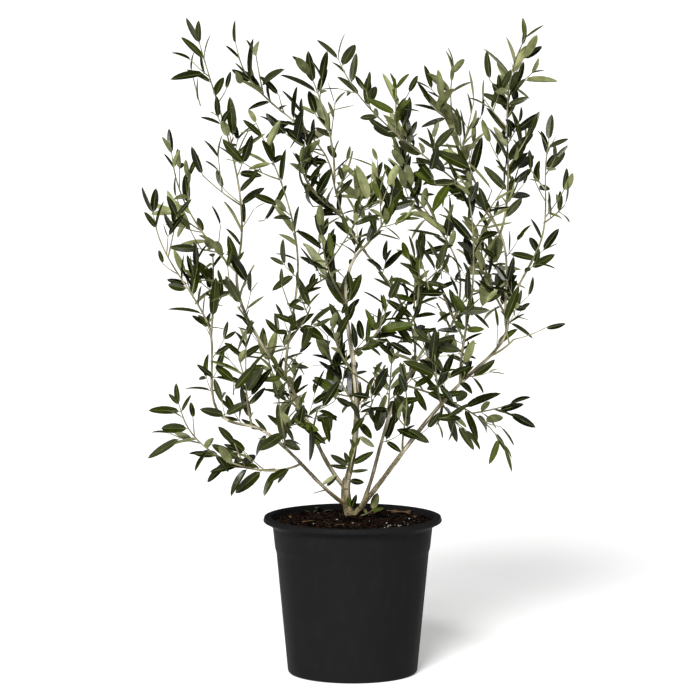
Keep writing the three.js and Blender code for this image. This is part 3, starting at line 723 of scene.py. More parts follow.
def tube(points, radii, sides, reference):
    """A closed round tube through the points, with a small rounded cap at both ends, and the grain:
    each vertex's place across, over and along the tube."""
    points = np.asarray(points)
    runs = np.gradient(points, axis=0)
    steps = np.linalg.norm(np.diff(points, axis=0), axis=1)
    along = grain_start(points[0]) + np.concatenate(((0.0,), np.cumsum(steps)))
    vertices = [points[0] - unit(runs[0]) * radii[0] * ROUND_END]
    grain = [(0.0, 0.0, along[0])]
    for point, run, radius, distance in zip(points, runs, radii, along):
        across, over = square_to(unit(run), reference)
        for k in range(sides):
            turn = 2.0 * math.pi * k / sides
            vertices.append(point + radius * (across * math.cos(turn) - over * math.sin(turn)))
            grain.append((radius * math.cos(turn), -radius * math.sin(turn), distance))
    vertices.append(points[-1] + unit(runs[-1]) * radii[-1] * ROUND_END)
    grain.append((0.0, 0.0, along[-1]))
    return vertices, ringed_faces(len(points), sides), grain


def keep_grain(mesh, grain):
    """Stores the grain on the mesh in metres, for patterns that follow the wood."""
    kept = mesh.attributes.new("grain", "FLOAT_VECTOR", "POINT")
    kept.data.foreach_set("vector", (np.asarray(grain, float) * MM).ravel())


class Heap:
    """Many small closed tubes gathered into one mesh, with their grain."""

    def __init__(self):
        self.vertices = []
        self.faces = []
        self.grain = []

    def add(self, vertices, faces, grain):
        first = len(self.vertices)
        self.vertices.extend(vertices)
        self.faces.extend(tuple(first + corner for corner in face) for face in faces)
        self.grain.extend(grain)

    def piece(self, name, materials):
        made = mesh_piece(name, self.vertices, self.faces, materials)
        keep_grain(made.data, self.grain)
        return made


def limb_tube(limb, sides, swell):
    """A limb's tube, run back into its carrier and thickened where it leaves it."""
    count = max(3, int(limb.length / TUBE_STEP))
    points = list(limb.curve.points(count))
    radii = [
        limb.radius_at(i / count) * (1.0 + swell * math.exp(-limb.length * i / count / COLLAR_FADE))
        for i in range(count + 1)
    ]
    if limb.onward:
        points.insert(0, points[0] - limb.curve.run(0.0) * OLD_RUNS_BACK)
        radii.insert(0, radii[0])
    return tube(points, radii, sides, limb.curve.reference)


old_wood = Heap()
old_limbs = [limb for limb in boughs if limb.radius_at(1.0) > OLD_RADIUS]
for limb in old_limbs:
    has_collar = not limb.onward and limb.name != "trunk"
    old_wood.add(*limb_tube(limb, OLD_SIDES, COLLAR_SWELL if has_collar else 0.0))
skin = old_wood.piece("bark_skin", [])
remesh = skin.modifiers.new("one_skin", "REMESH")
remesh.mode = "VOXEL"
remesh.voxel_size = SKIN_VOXEL * MM
soften = skin.modifiers.new("soft_forks", "SMOOTH")
soften.factor = SOFT_FORKS["factor"]
soften.iterations = SOFT_FORKS["rounds"]
graph = bpy.context.evaluated_depsgraph_get()
skin_mesh = bpy.data.meshes.new_from_object(skin.evaluated_get(graph), depsgraph=graph)
skin.modifiers.clear()
skin.data = skin_mesh
skin_mesh.shade_smooth()


def grain_of_limbs(mesh, limbs_under):
    """The grain of a skin over many limbs: each point's place across, over and along its nearest limb."""
    frames = []
    for limb in limbs_under:
        count = int(limb.length / TUBE_STEP)
        for share in np.linspace(0.0, 1.0, count + 1):
            run = limb.curve.run(share)
            along = grain_start(limb.curve.at(0.0)) + limb.length * share
            frames.append((limb.curve.at(share), *square_to(run, limb.curve.reference), run, along))
    centres = kdtree.KDTree(len(frames))
    for number, frame in enumerate(frames):
        centres.insert(frame[0], number)
    centres.balance()
    nearest = [centres.find(vertex.co / MM)[1] for vertex in mesh.vertices]
    centre, across, over, run, along = (np.array(part)[nearest] for part in zip(*frames))
    away = np.array([vertex.co for vertex in mesh.vertices]) / MM - centre
    return np.stack(((away * across).sum(1), (away * over).sum(1), along + (away * run).sum(1)), axis=1)


keep_grain(skin_mesh, grain_of_limbs(skin_mesh, old_limbs))

SWELLINGS = {"size": 24.0, "rise": 0.5}
RIDGES = {"size": (1.8, 14.0), "rise": 0.34}
LENTICELS = {"size": (1.5, 1.1), "rise": 0.9, "above": 0.35}
FLUTES = {"size": (6.5, 80.0), "rise": 2.6, "end": 380.0, "fade": 60.0, "middle": -3.0, "half": 22.0}


def uneven_wood(place, size):
    """A pattern with one size across the wood and another along it."""
    across, along = size
    return noise.noise(Vector((place.x / across, place.y / across, place.z / along)))


def bark_relief(mesh, depth):
    """Moves each point of a bark surface in or out: soft swellings all over, low ridges along the limb,
    corky lenticels, and flutes low on the trunk."""
    count = len(mesh.vertices)
    places = np.empty(count * 3)
    normals = np.empty(count * 3)
    grain = np.empty(count * 3)
    mesh.vertices.foreach_get("co", places)
    mesh.vertices.foreach_get("normal", normals)
    mesh.attributes["grain"].data.foreach_get("vector", grain)
    places = places.reshape(-1, 3)
    normals = normals.reshape(-1, 3)
    moves = np.empty(count)
    for i, (place, wood) in enumerate(zip(places, grain.reshape(-1, 3))):
        at = Vector(place) / MM
        wood = Vector(wood) / MM
        swelling = noise.noise(at / SWELLINGS["size"]) * SWELLINGS["rise"]
        ridges = uneven_wood(wood, RIDGES["size"]) * RIDGES["rise"]
        cork = max(0.0, uneven_wood(wood, LENTICELS["size"]) - LENTICELS["above"]) * LENTICELS["rise"]
        low = max(0.0, min(1.0, (FLUTES["end"] - at.z) / FLUTES["fade"]))
        low *= max(0.0, 1.0 - abs(at.x - FLUTES["middle"]) / FLUTES["half"])
        flutes = uneven_wood(at, FLUTES["size"]) * FLUTES["rise"] * low
        moves[i] = (swelling + ridges + cork + flutes) * depth * MM
    mesh.vertices.foreach_set("co", (places + normals * moves[:, None]).ravel())
    mesh.update()


bark_relief(skin_mesh, 1.0)

AGED_HEIGHTS = (0.29, 0.37)
AGED_LIGHT = (0.205, 0.168, 0.075)
AGED_DARK = (0.05, 0.036, 0.014)


def bark_finish(name, grey, shade, green, greenness):
    """Bark with weathered grey over a darker and a greener layer, browner low down, and pale corky dots."""
    finish = Finish(name, 0.8, "grain", Specular_IOR_Level=0.15)
    patches = finish.mask(110.0, 0.42, 0.6, (1.0, 1.0, 0.2), 4.0)
    fibres = finish.mask(250.0, 0.44, 0.6, (1.0, 1.0, 0.1), 4.0)
    living = finish.mask(24.0, greenness, greenness + 0.16, (1.0, 1.0, 0.5), 3.0)
    dots = finish.mask(900.0, 0.66, 0.72, (1.0, 1.0, 0.8), 1.0)
    weathered = finish.mixed(patches, grey, shade)
    alive = finish.mixed(living, weathered, green)
    aged = finish.mixed(patches, AGED_LIGHT, AGED_DARK)
    grown = finish.mixed(finish.height(*AGED_HEIGHTS), aged, alive)
    lined = finish.mixed(fibres, grown, tuple(0.6 * part for part in shade))
    finish.colour(finish.mixed(dots, lined, tuple(1.5 * part for part in grey)))
    finish.roughness(patches, 0.68, 0.88)
    finish.bump(fibres, 0.5, 0.9)
    finish.bump(dots, 0.3, 0.7)
    return finish.material


old_bark = bark_finish("old_bark", (0.48, 0.44, 0.33), (0.13, 0.105, 0.06), (0.20, 0.20, 0.09), 0.54)
skin_mesh.materials.clear()
skin_mesh.materials.append(old_bark)
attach(skin, "root")
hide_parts(*[limb.name for limb in old_limbs])

# Younger boughs. Last year's wood, still olive green under a thin grey skin, each growing on
# from the older wood, with a swelling every few centimetres where a pair of leaves once stood.
NODE_EVERY = 24.0
NODE_SWELL = 0.16
NODE_FADE = 1.6
YOUNG_STEP = 2.0
YOUNG_SIDES = 12
YOUNG_RUNS_BACK = 2.5
YOUNG_RELIEF = 0.5


def young_tube(points, radii, sides, reference):
    """A tube of young wood with a low swelling at each old pair of leaf scars."""
    steps = np.linalg.norm(np.diff(points, axis=0), axis=1)
    along = np.concatenate(((0.0,), np.cumsum(steps)))
    near = np.abs((along / NODE_EVERY) % 1.0 - 0.5) * NODE_EVERY
    return tube(points, radii * (1.0 + NODE_SWELL * np.exp(-(near / NODE_FADE) ** 2)), sides, reference)


young_wood = Heap()
young_limbs = [limb for limb in boughs if limb.radius_at(1.0) <= OLD_RADIUS]
for limb in young_limbs:
    count = int(limb.length / YOUNG_STEP)
    points = limb.curve.points(count)
    away = np.linspace(0.0, limb.length, count + 1)
    radii = np.array([limb.radius_at(i / count) for i in range(count + 1)])
    if limb.onward:
        points = np.vstack((points[0] - limb.curve.run(0.0) * YOUNG_RUNS_BACK, points))
        radii = np.concatenate((radii[:1], radii))
    else:
        radii *= 1.0 + COLLAR_SWELL * np.exp(-away / COLLAR_FADE)
    young_wood.add(*young_tube(points, radii, YOUNG_SIDES, limb.curve.reference))
young_bark = bark_finish("young_bark", (0.42, 0.385, 0.28), (0.14, 0.12, 0.07), (0.20, 0.21, 0.09), 0.48)
young = young_wood.piece("young_boughs", [young_bark])
bark_relief(young.data, YOUNG_RELIEF)
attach(young, "root")
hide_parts(*[limb.name for limb in young_limbs])

# Twigs. In each mass of foliage a stem grows on from its bough, twigs leave its sides by the seeded rule
# of the solids, and finer side shoots leave the twigs, each kept inside its own mass's space.
STEM_BARE_SHARE = 0.08
STEM_BARE = 12.0
TWIG_EVERY = 58.0
TWIG_PLACE = (0.2, 0.7)
TWIG_LAST_SHARE = 0.84
TWIG_LENGTH = (112.0, 58.0)
TWIG_SPREAD = 0.25
TWIG_SHORTER = (1.0, 0.7, 0.5)
TWIG_ANGLE = 48.0
TWIG_ANGLE_SPREAD = 0.2
TWIG_SCATTER = 0.4
TWIG_RISE = 0.3
TWIG_CHECK_STEPS = 6
TWIG_CHECKS_FROM = 2
TWIG = {"bare": 16.0, "leaf_size": 1.0, "radii": (1.5, 0.85), "sides": 7, "step": 4.0}
SIDE_EVERY = 42.0
SIDE_PLACE = (0.25, 0.75)
SIDE_BARE = (14.0, 22.0)
SIDE_SHOOT = {
    "turn_on": 0.6, "scatter": 0.8, "angle": (46.0, 10.0), "rise": 0.35,
    "length": (58.0, 34.0), "spread": 0.3,
    "bare": 9.0, "leaf_size": 0.9, "radii": (1.1, 0.7), "sides": 6, "step": 5.0,
}
SPUR_EVERY = 34.0
SPUR_PLACE = (0.15, 0.85)
SPUR_ABOVE = 385.0
SPUR_SEED = 300
SPUR = {
    "turn_on": 0.9, "scatter": 0.9, "angle": (52.0, 12.0), "rise": 0.45,
    "length": (34.0, 34.0), "spread": 0.45,
    "bare": 8.0, "leaf_size": 0.8, "radii": (0.9, 0.5), "sides": 6, "step": 5.0,
}
SPACE_MARGIN = 3.0
LIMB_CLEARANCE = 1.5
ABOVE_MIX = 12.0
SPACE_LEFT, SPACE_RIGHT, SPACE_DEPTH, SPACE_TOP = -348.0, 362.0, 140.0, 1102.0


def seeded(seed):
    """The solids' own small generator, so that the same twigs grow here."""
    state = seed
    word = 0xFFFFFFFF

    def draw():
        nonlocal state
        state = (state + 0x6D2B79F5) & word
        mixed = ((state ^ (state >> 15)) * (state | 1)) & word
        mixed ^= (mixed + (((mixed ^ (mixed >> 7)) * (mixed | 61)) & word)) & word
        return (mixed ^ (mixed >> 14)) / 4294967296.0

    return draw


def around(middle, spread, random):
    """A random value that is no further than a spread from the middle."""
    return middle + spread * (2.0 * random() - 1.0)


class Stretches:
    """Straight stretches of many limbs, for fast distances from points."""

    def __init__(self, members):
        starts, ends, owners, thick, thin = [], [], [], [], []
        for owner, limb in enumerate(members):
            last = len(limb.line) - 1
            for i in range(last):
                starts.append(limb.line[i])
                ends.append(limb.line[i + 1])
                owners.append(owner)
                thick.append(limb.radius_at(i / last))
                thin.append(limb.radius_at((i + 1) / last))
        self.starts = np.array(starts)
        self.runs = np.array(ends) - self.starts
        self.squares = (self.runs ** 2).sum(1)
        self.owners = np.array(owners)
        self.thick = np.array(thick)
        self.thin = np.array(thin)

    def measure(self, points):
        """The distance of each point from each stretch, and the share of the stretch that is nearest."""
        away = points[:, None, :] - self.starts
        share = np.clip((away * self.runs).sum(2) / self.squares, 0.0, 1.0)
        return np.linalg.norm(away - self.runs * share[:, :, None], axis=2), share


stem_stretches = Stretches(stems)
bough_stretches = Stretches(boughs)
STEM_NUMBER = {stem.name: number for number, stem in enumerate(stems)}


def in_own_space(points, stem):
    """True where every point is nearer to its own stem than to any other, and clear of boughs and mix.
    A spur on a bough has no stem of its own, and only keeps clear."""
    points = np.asarray(points)
    if points[:, 2].min() < MIX_TOP + ABOVE_MIX or points[:, 2].max() > SPACE_TOP:
        return False
    if points[:, 0].min() < SPACE_LEFT or points[:, 0].max() > SPACE_RIGHT:
        return False
    if np.abs(points[:, 1]).max() > SPACE_DEPTH:
        return False
    away, _ = stem_stretches.measure(points)
    if stem is None:
        if away.min() < SPACE_MARGIN:
            return False
    else:
        mine = stem_stretches.owners == STEM_NUMBER[stem.name]
        if (away[:, ~mine].min(1) < away[:, mine].min(1) + SPACE_MARGIN).any():
            return False
    away, share = bough_stretches.measure(points)
    radii = bough_stretches.thick + (bough_stretches.thin - bough_stretches.thick) * share
    return bool((away - radii > LIMB_CLEARANCE).all())


def along_line(line, share):
    """The place and the run at a share of a line of straight stretches."""
    last = len(line) - 1
    first = min(int(share * last), last - 1)
    stretch = line[first + 1] - line[first]
    return line[first] + stretch * (share * last - first), unit(stretch)


def slanted_from(along, reference, turn, slant):
    """The direction that leaves a limb at a slant, at a turn round it."""
    across, over = square_to(along, reference)
    outward = across * math.cos(turn) + over * math.sin(turn)
    return unit(along * math.cos(slant) + outward * math.sin(slant))


def twigs_on(stem, bare_length, random):
    """The same twigs as the solid's: long near the stem's foot, short near its tip, bent upwards."""
    twigs = []
    bare = bare_length / stem.length
    leafy = TWIG_LAST_SHARE - bare
    count = max(1, int(stem.length * leafy / TWIG_EVERY + 0.5))
    for i in range(count):
        share = bare + leafy * (i + TWIG_PLACE[0] + (TWIG_PLACE[1] - TWIG_PLACE[0]) * random()) / count
        turn = around(FLAT_SIDES[(i + stem.seed) % 3], TWIG_SCATTER, random)
        slant = math.radians(TWIG_ANGLE * around(1.0, TWIG_ANGLE_SPREAD, random))
        root, run = along_line(stem.line, share)
        way = slanted_from(run, stem.curve.reference, turn, slant)
        late = unit(way + UP * TWIG_RISE)
        middle = unit(way + late)
        full = between(TWIG_LENGTH, share) * around(1.0, TWIG_SPREAD, random)
        for part in TWIG_SHORTER:
            curve = Bow(root, root + middle * full * part, way, late)
            if in_own_space(curve.points(TWIG_CHECK_STEPS)[TWIG_CHECKS_FROM:], stem):
                twigs.append(curve)
                break
    return twigs


def off_the_side(carrier, share, number, kind, random):
    """How a small shoot leaves a limb, on the other side from the last one and turned on a little:
    its way out, its way at its tip, and its whole reach."""
    turn = around(math.pi * (number % 2) + kind["turn_on"] * number, kind["scatter"], random)
    slant = math.radians(around(*kind["angle"], random))
    way = slanted_from(carrier.run(share), carrier.reference, turn, slant)
    late = unit(way + UP * kind["rise"])
    full = between(kind["length"], share) * around(1.0, kind["spread"], random)
    return way, late, unit(way + late) * full


def side_shoots_on(carrier, bare_length, stem, random):
    """Finer shoots on the sides of a stem or twig, each a little shorter towards its tip."""
    shoots = []
    leafy = carrier.length - bare_length
    count = int(leafy / SIDE_EVERY)
    for i in range(count):
        step = i + SIDE_PLACE[0] + (SIDE_PLACE[1] - SIDE_PLACE[0]) * random()
        share = (bare_length + leafy * step / (count + 0.5)) / carrier.length
        root = carrier.at(share)
        way, late, whole = off_the_side(carrier, share, i, SIDE_SHOOT, random)
        for part in TWIG_SHORTER:
            curve = Bow(root, root + whole * part, way, late)
            if in_own_space(curve.points(TWIG_CHECK_STEPS)[TWIG_CHECKS_FROM:], stem):
                shoots.append(curve)
                break
    return shoots


# Leaves. Leathery, narrow and pointed, on short stalks in opposite pairs, folded a little along the rib and
# arched: dark and glossy above, felted pale grey-green below. The greens go by spray, one piece for each.
LEAF_EVERY = 24.0
LEAF_LENGTH = 55.0
LEAF_SPREAD = 0.32
LEAF_BREADTH = 0.265
LEAF_BREADTH_SPREAD = 0.16
LEAF_THICKNESS = 0.55
BLADE_SKEW = 0.94
BLADE_BLUNT = 0.62
STALK_HALF = 0.55
STALK_THICKNESS = 1.0
RIB_HALF = 0.5
RIB_FADE = 0.6
LEAF_TURN_SPREAD = 0.35
LEAF_TURN_WIDER = 0.3
LEAF_ANGLE = 50.0
LEAF_ANGLE_SPREAD = 0.4
LEAF_END_ANGLE = 24.0
TIP_SIZE = 0.8
LEADER_LENGTH = 22.0
LONE_TIP_SHARE = 0.3
LAST_PAIR = 0.985
PAST_LAST_PAIR = 0.015
LEAF_ROLL = 0.85
LEAF_HANG = 0.55
LEAF_ARCH = (0.07, 0.12)
LEAF_FOLD = (0.36, 0.18)
LEAF_STANDS_OFF = 0.2
LEAF_APART = 4.0
LEAF_CHECKS = (0.3, 0.5, 0.75, 1.0)
LEAF_ATTEMPTS = 5
TURNS_TO_LIGHT = {"share": 0.72, "more_low_down": 0.6, "strong": 2.6, "weak": 0.1}
LIGHT = {"side_reach": 600.0, "fan_half": 60.0, "from_front": 0.9, "height": 0.75}
FULL = {"share": 0.9, "middle": 60.0, "left": 330.0, "right": 420.0, "sides_fade": 0.75, "top_fade": 0.3}
SIDES_THIN = (480.0, 240.0)
TOP_THINS = (880.0, 220.0)
UPRIGHT_ABOVE = 860.0
STALK = (0.0, 0.07)
BLADE = (0.15, 0.28, 0.44, 0.6, 0.76, 0.9)
# Each green's darker and lighter tone above, then below.
LEAF_GREENS = {
    "leaves_deep_green": (
        (0.0025, 0.0040, 0.0002), (0.0058, 0.0084, 0.0006), (0.105, 0.112, 0.042), (0.20, 0.21, 0.088),
    ),
    "leaves_dark_green": (
        (0.0058, 0.0086, 0.0004), (0.0116, 0.0160, 0.0010), (0.15, 0.16, 0.060), (0.26, 0.275, 0.118),
    ),
    "leaves_mid_green": (
        (0.0128, 0.0178, 0.0008), (0.0228, 0.0295, 0.0020), (0.205, 0.22, 0.092), (0.32, 0.335, 0.155),
    ),
    "leaves_fresh_green": (
        (0.036, 0.051, 0.0035), (0.057, 0.074, 0.0080), (0.235, 0.26, 0.105), (0.35, 0.37, 0.17),
    ),
    "leaves_grey_green": (
        (0.021, 0.025, 0.0070), (0.035, 0.039, 0.0130), (0.23, 0.24, 0.125), (0.36, 0.37, 0.20),
    ),
}
# The share of its leaves that a mass keeps where the plant is more open than elsewhere, or, above one,
# how much closer its pairs of leaves stand.
LEAF_SHARES = {
    "foliage_left_edge": 1.5,
    "foliage_centre_low_right": 1.15,
    "foliage_left_low": 0.58,
    "foliage_left_rising": 0.6,
    "foliage_left_centre": 0.5,
    "foliage_left_crown": 0.68,
    "foliage_left_outer": 1.4,
    "foliage_left_edge_back": 1.3,
    "foliage_left_high_front": 0.32,
    "foliage_left_high_back": 0.05,
    "foliage_left_inner_front": 0.48,
    "foliage_left_mid_front": 0.4,
    "foliage_left_mid_back": 0.85,
    "foliage_left_low_front": 0.92,
    "foliage_top_left": 0.85,
    "foliage_top_left_front": 0.02,
    "foliage_top_left_back": 0.7,
    "foliage_upper_front": 1.45,
    "foliage_upper_back": 1.3,
    "foliage_centre": 0.86,
    "foliage_centre_left": 0.85,
    "foliage_centre_back": 0.38,
    "foliage_centre_low_left": 0.72,
    "foliage_centre_foot": 0.62,
    "foliage_right_back": 1.2,
    "foliage_right_back_low": 0.82,
    "foliage_right_back_mid": 0.15,
    "foliage_right_upright_front": 0.3,
    "foliage_right_upright": 0.72,
    "foliage_right_front_low": 0.76,
    "foliage_right_low": 0.42,
    "foliage_right_bend": 0.36,
    "foliage_right_edge": 1.05,
    "foliage_top_right_back": 0.75,
    "foliage_top_right": 0.92,
    "foliage_right_inner_back": 1.45,
    "foliage_right_mid": 0.95,
}
# The greens that sprays are dealt, each as often as it stands here.
SPRAY_DEAL = (0, 1, 1, 2, 2, 2, 3, 4, 0, 1)


def leaf_outline(share):
    """Half the blade's breadth at a share of the leaf's length, from 0 to 1."""
    return math.sin(math.pi * share ** BLADE_SKEW) ** BLADE_BLUNT


def leaf_shape(root, way, facing, length, breadth, arch, fold):
    """The five corners of each cross-section from stalk to tip: left, both sides of the rib, right,
    and under the rib. The tip is one point."""
    side = unit(np.cross(way, facing))
    half_breadth = breadth * length / 2.0
    vertices = []
    for share in STALK + BLADE:
        middle = root + way * (length * share) - facing * (arch * length * share ** 2)
        half = STALK_HALF if share in STALK else half_breadth * leaf_outline(share)
        thick = (STALK_THICKNESS if share in STALK else LEAF_THICKNESS) / 2.0
        lift = facing * (0.0 if share in STALK else half * fold)
        rib = side * (RIB_HALF * (1.0 - RIB_FADE * share))
        vertices += [
            middle - side * half + lift,
            middle + facing * thick - rib,
            middle + facing * thick + rib,
            middle + side * half + lift,
            middle - facing * thick,
        ]
    vertices.append(root + way * length - facing * (arch * length))
    return vertices


SECTIONS = len(STALK + BLADE)
CORNERS = 5
CORNER_SIDES = (0, 2, 0, 1, 1)
LEAF_POINTS = CORNERS * SECTIONS + 1
LEAF_FACES = [tuple(range(CORNERS))]
LEAF_SIDES = [1]
for section in range(SECTIONS):
    for corner, leaf_side in enumerate(CORNER_SIDES):
        after = (corner + 1) % CORNERS
        low, high = CORNERS * section, CORNERS * (section + 1)
        if section < SECTIONS - 1:
            LEAF_FACES.append((low + corner, high + corner, high + after, low + after))
        else:
            LEAF_FACES.append((low + corner, high, low + after))
        LEAF_SIDES.append(leaf_side)


def light_at(place):
    """The way a leaf here turns its upper side: up, and out of the front or the back of the fan."""
    outward = max(-1.0, min(1.0, place[1] / LIGHT["fan_half"] - LIGHT["from_front"]))
    return unit(np.array((place[0] / LIGHT["side_reach"], outward, LIGHT["height"])))


def fullness_at(place):
    """How much of the foliage is kept here: less towards the fan's upper corners and its top."""
    sideways = place[0] - FULL["middle"]
    off_middle = sideways / (FULL["left"] if sideways < 0.0 else FULL["right"])
    raised = max(0.0, min(1.0, (place[2] - SIDES_THIN[0]) / SIDES_THIN[1]))
    top = max(0.0, (place[2] - TOP_THINS[0]) / TOP_THINS[1])
    return FULL["share"] - FULL["sides_fade"] * raised * off_middle ** 2 - FULL["top_fade"] * top


def upper_side(along, way, place, low, random):
    """The way that a leaf's upper side faces: to the light, most of all low down, and rolled a little."""
    turns = random() < TURNS_TO_LIGHT["share"] + TURNS_TO_LIGHT["more_low_down"] * low
    facing = unit(along + light_at(place) * TURNS_TO_LIGHT["strong" if turns else "weak"])
    facing = unit(facing - way * float(facing @ way))
    roll = around(0.0, LEAF_ROLL, random)
    return unit(facing * math.cos(roll) + np.cross(way, facing) * math.sin(roll))


def has_room(points, stem, taken):
    """True where a leaf lies in its own mass's space and clear of the leaves that are there."""
    if not in_own_space(points, stem):
        return False
    return not taken or np.linalg.norm(np.array(taken)[:, None, :] - points, axis=2).min() >= LEAF_APART


def leaves_on(curve, bare_length, stem, random, taken, heap, smaller):
    """Opposite pairs of leaves along a shoot, each turned a quarter from the last, and one pair at its tip.
    Gives the share of the shoot that they reach."""
    kept = LEAF_SHARES.get(stem.name, 1.0) if stem else 1.0
    leafy = curve.length - bare_length
    pairs = max(1, int(leafy / LEAF_EVERY * max(1.0, kept) + 0.5))
    reach = 0.0
    quarter = random() * math.pi
    for pair in range(pairs + 1):
        at_tip = pair == pairs
        angle, tip_size = (LEAF_END_ANGLE, TIP_SIZE) if at_tip else (LEAF_ANGLE, 1.0)
        share = min(LAST_PAIR, (bare_length + leafy * pair / pairs) / curve.length)
        root = curve.at(share)
        along = curve.run(share)
        low = min(1.0, max(0.0, (UPRIGHT_ABOVE - root[2]) / (UPRIGHT_ABOVE - MIX_TOP)))
        for half in (0, 1):
            if random() > kept * (1.0 if at_tip else fullness_at(root)):
                continue
            if at_tip and half and random() < LONE_TIP_SHARE:
                continue
            for attempt in range(LEAF_ATTEMPTS):
                scatter = LEAF_TURN_SPREAD + LEAF_TURN_WIDER * attempt
                turn = quarter + pair * math.pi / 2.0 + half * math.pi + around(0.0, scatter, random)
                slant = math.radians(around(1.0, LEAF_ANGLE_SPREAD, random) * angle)
                length = LEAF_LENGTH * smaller * tip_size * around(1.0, LEAF_SPREAD, random)
                wish = slanted_from(along, curve.reference, turn, slant)
                way = unit(wish - UP * LEAF_HANG * low * random())
                facing = upper_side(along, way, root, low, random)
                arch = around(*LEAF_ARCH, random)
                fold = around(*LEAF_FOLD, random)
                checks = [
                    root + way * length * part - facing * arch * length * part ** 2
                    for part in LEAF_CHECKS
                ]
                if not has_room(checks, stem, taken):
                    continue
                taken.extend(checks)
                base = root + way * LEAF_STANDS_OFF
                breadth = LEAF_BREADTH * around(1.0, LEAF_BREADTH_SPREAD, random)
                heap.append(leaf_shape(base, way, facing, length, breadth, arch, fold))
                reach = share
                break
    return min(1.0, reach + PAST_LAST_PAIR) if reach else 0.0


def bough_spurs(limb, random):
    """Short leafy shoots that leave a bough on alternate sides, where it runs clear of the lowest part."""
    spurs = []
    count = int(limb.length / SPUR_EVERY)
    for i in range(count):
        share = (i + SPUR_PLACE[0] + (SPUR_PLACE[1] - SPUR_PLACE[0]) * random()) / count
        root = limb.curve.at(share)
        way, late, whole = off_the_side(limb.curve, share, i, SPUR, random)
        if root[2] > SPUR_ABOVE:
            spurs.append(Bow(root, root + whole, way, late))
    return spurs


heaps = {name: [] for name in LEAF_GREENS}
names = list(LEAF_GREENS)
twig_wood = Heap()
WOOD_TAPER = 0.8
STEM_WOOD = {"radii": (2.1, 1.05), "sides": 8, "step": 4.0, "least_reach": 0.5}
SPROUT_WOOD = {"sides": 7, "step": 3.0}


def spray(curve, bare_length, stem, random, taken, smaller):
    """Leaves of one green along a shoot. Gives the share of the shoot that they reach."""
    heap = heaps[names[SPRAY_DEAL[int(random() * len(SPRAY_DEAL))]]]
    return leaves_on(curve, bare_length, stem, random, taken, heap, smaller)


def add_wood(curve, reach, radii, sides, step, root_line=None):
    """A shoot's own wood, as far as its leaves reach."""
    count = max(3, int(curve.length * reach / step))
    points = np.array([curve.at(reach * i / count) for i in range(count + 1)])
    if root_line is not None:
        points = np.vstack((root_line, points))
    fades = between(radii, np.linspace(0.0, reach, len(points)) ** WOOD_TAPER)
    twig_wood.add(*young_tube(points, fades, sides, curve.reference))


def leafy_shoot(curve, kind, stem, random, taken):
    """Leaves along a shoot, and its wood as far as they reach. A shoot that bears none is left out."""
    reach = spray(curve, kind["bare"], stem, random, taken, kind["leaf_size"])
    if reach > 0.0:
        add_wood(curve, reach, kind["radii"], kind["sides"], kind["step"])


for stem in stems:
    random = seeded(stem.seed)
    bare = max(STEM_BARE, STEM_BARE_SHARE * stem.length)
    twigs = twigs_on(stem, bare, random)
    finer = side_shoots_on(stem.curve, bare + SIDE_BARE[0], stem, random)
    for twig in twigs:
        finer += side_shoots_on(twig, SIDE_BARE[1], stem, random)
    taken = []
    tip, onward = stem.curve.at(1.0), stem.curve.run(1.0)
    finer.append(Bow(tip, tip + onward * LEADER_LENGTH, onward, onward))
    thick, thin = STEM_WOOD["radii"]
    if stem.onward:
        thick = stem.carrier.radius_at(1.0)
    reach = max(spray(stem.curve, bare, stem, random, taken, 1.0), STEM_WOOD["least_reach"])
    add_wood(stem.curve, reach, (thick, thin), STEM_WOOD["sides"], STEM_WOOD["step"], stem.root_line)
    for twig in twigs:
        leafy_shoot(twig, TWIG, stem, random, taken)
    for shoot in finer:
        leafy_shoot(shoot, SIDE_SHOOT, stem, random, taken)

for number, limb in enumerate(boughs[1:]):
    random = seeded(SPUR_SEED + number)
    for spur in bough_spurs(limb, random):
        leafy_shoot(spur, SPUR, None, random, [])

# Low sprouts. A short shoot that leaves the trunk low on its right, one before the fork, three twigs on
# the lowest boughs, and single leaves below the crown. A shoot's row: its ends, its way out and at its tip,
# and its radii. A leaf's row: its root, its way, length, breadth, whether its felt shows, and its green.
LOW_LEAF_TILT = -0.1
LOW_LEAF_ARCH = 0.06
LOW_LEAF_FOLD = 0.25
SPROUTS = (
    ((9.0, -5.0, 266.0), (33.0, -9.0, 277.0), (76.0, -8.0), (40.0, 0.0), (1.3, 0.8)),
    ((-4.0, -7.0, 341.0), (4.0, -15.0, 384.0), (-6.0, -30.0), (8.0, 0.0), (1.8, 1.0)),
    ((-41.0, -6.0, 310.0), (-66.0, -14.0, 306.0), (-80.0, -30.0), (-104.0, 0.0), (1.2, 0.8)),
    ((62.0, 14.0, 438.0), (50.0, -8.0, 456.0), (-40.0, -50.0), (-20.0, -20.0), (1.2, 0.8)),
    ((70.0, 20.0, 452.0), (78.0, -8.0, 472.0), (10.0, -50.0), (20.0, -20.0), (1.2, 0.8)),
)
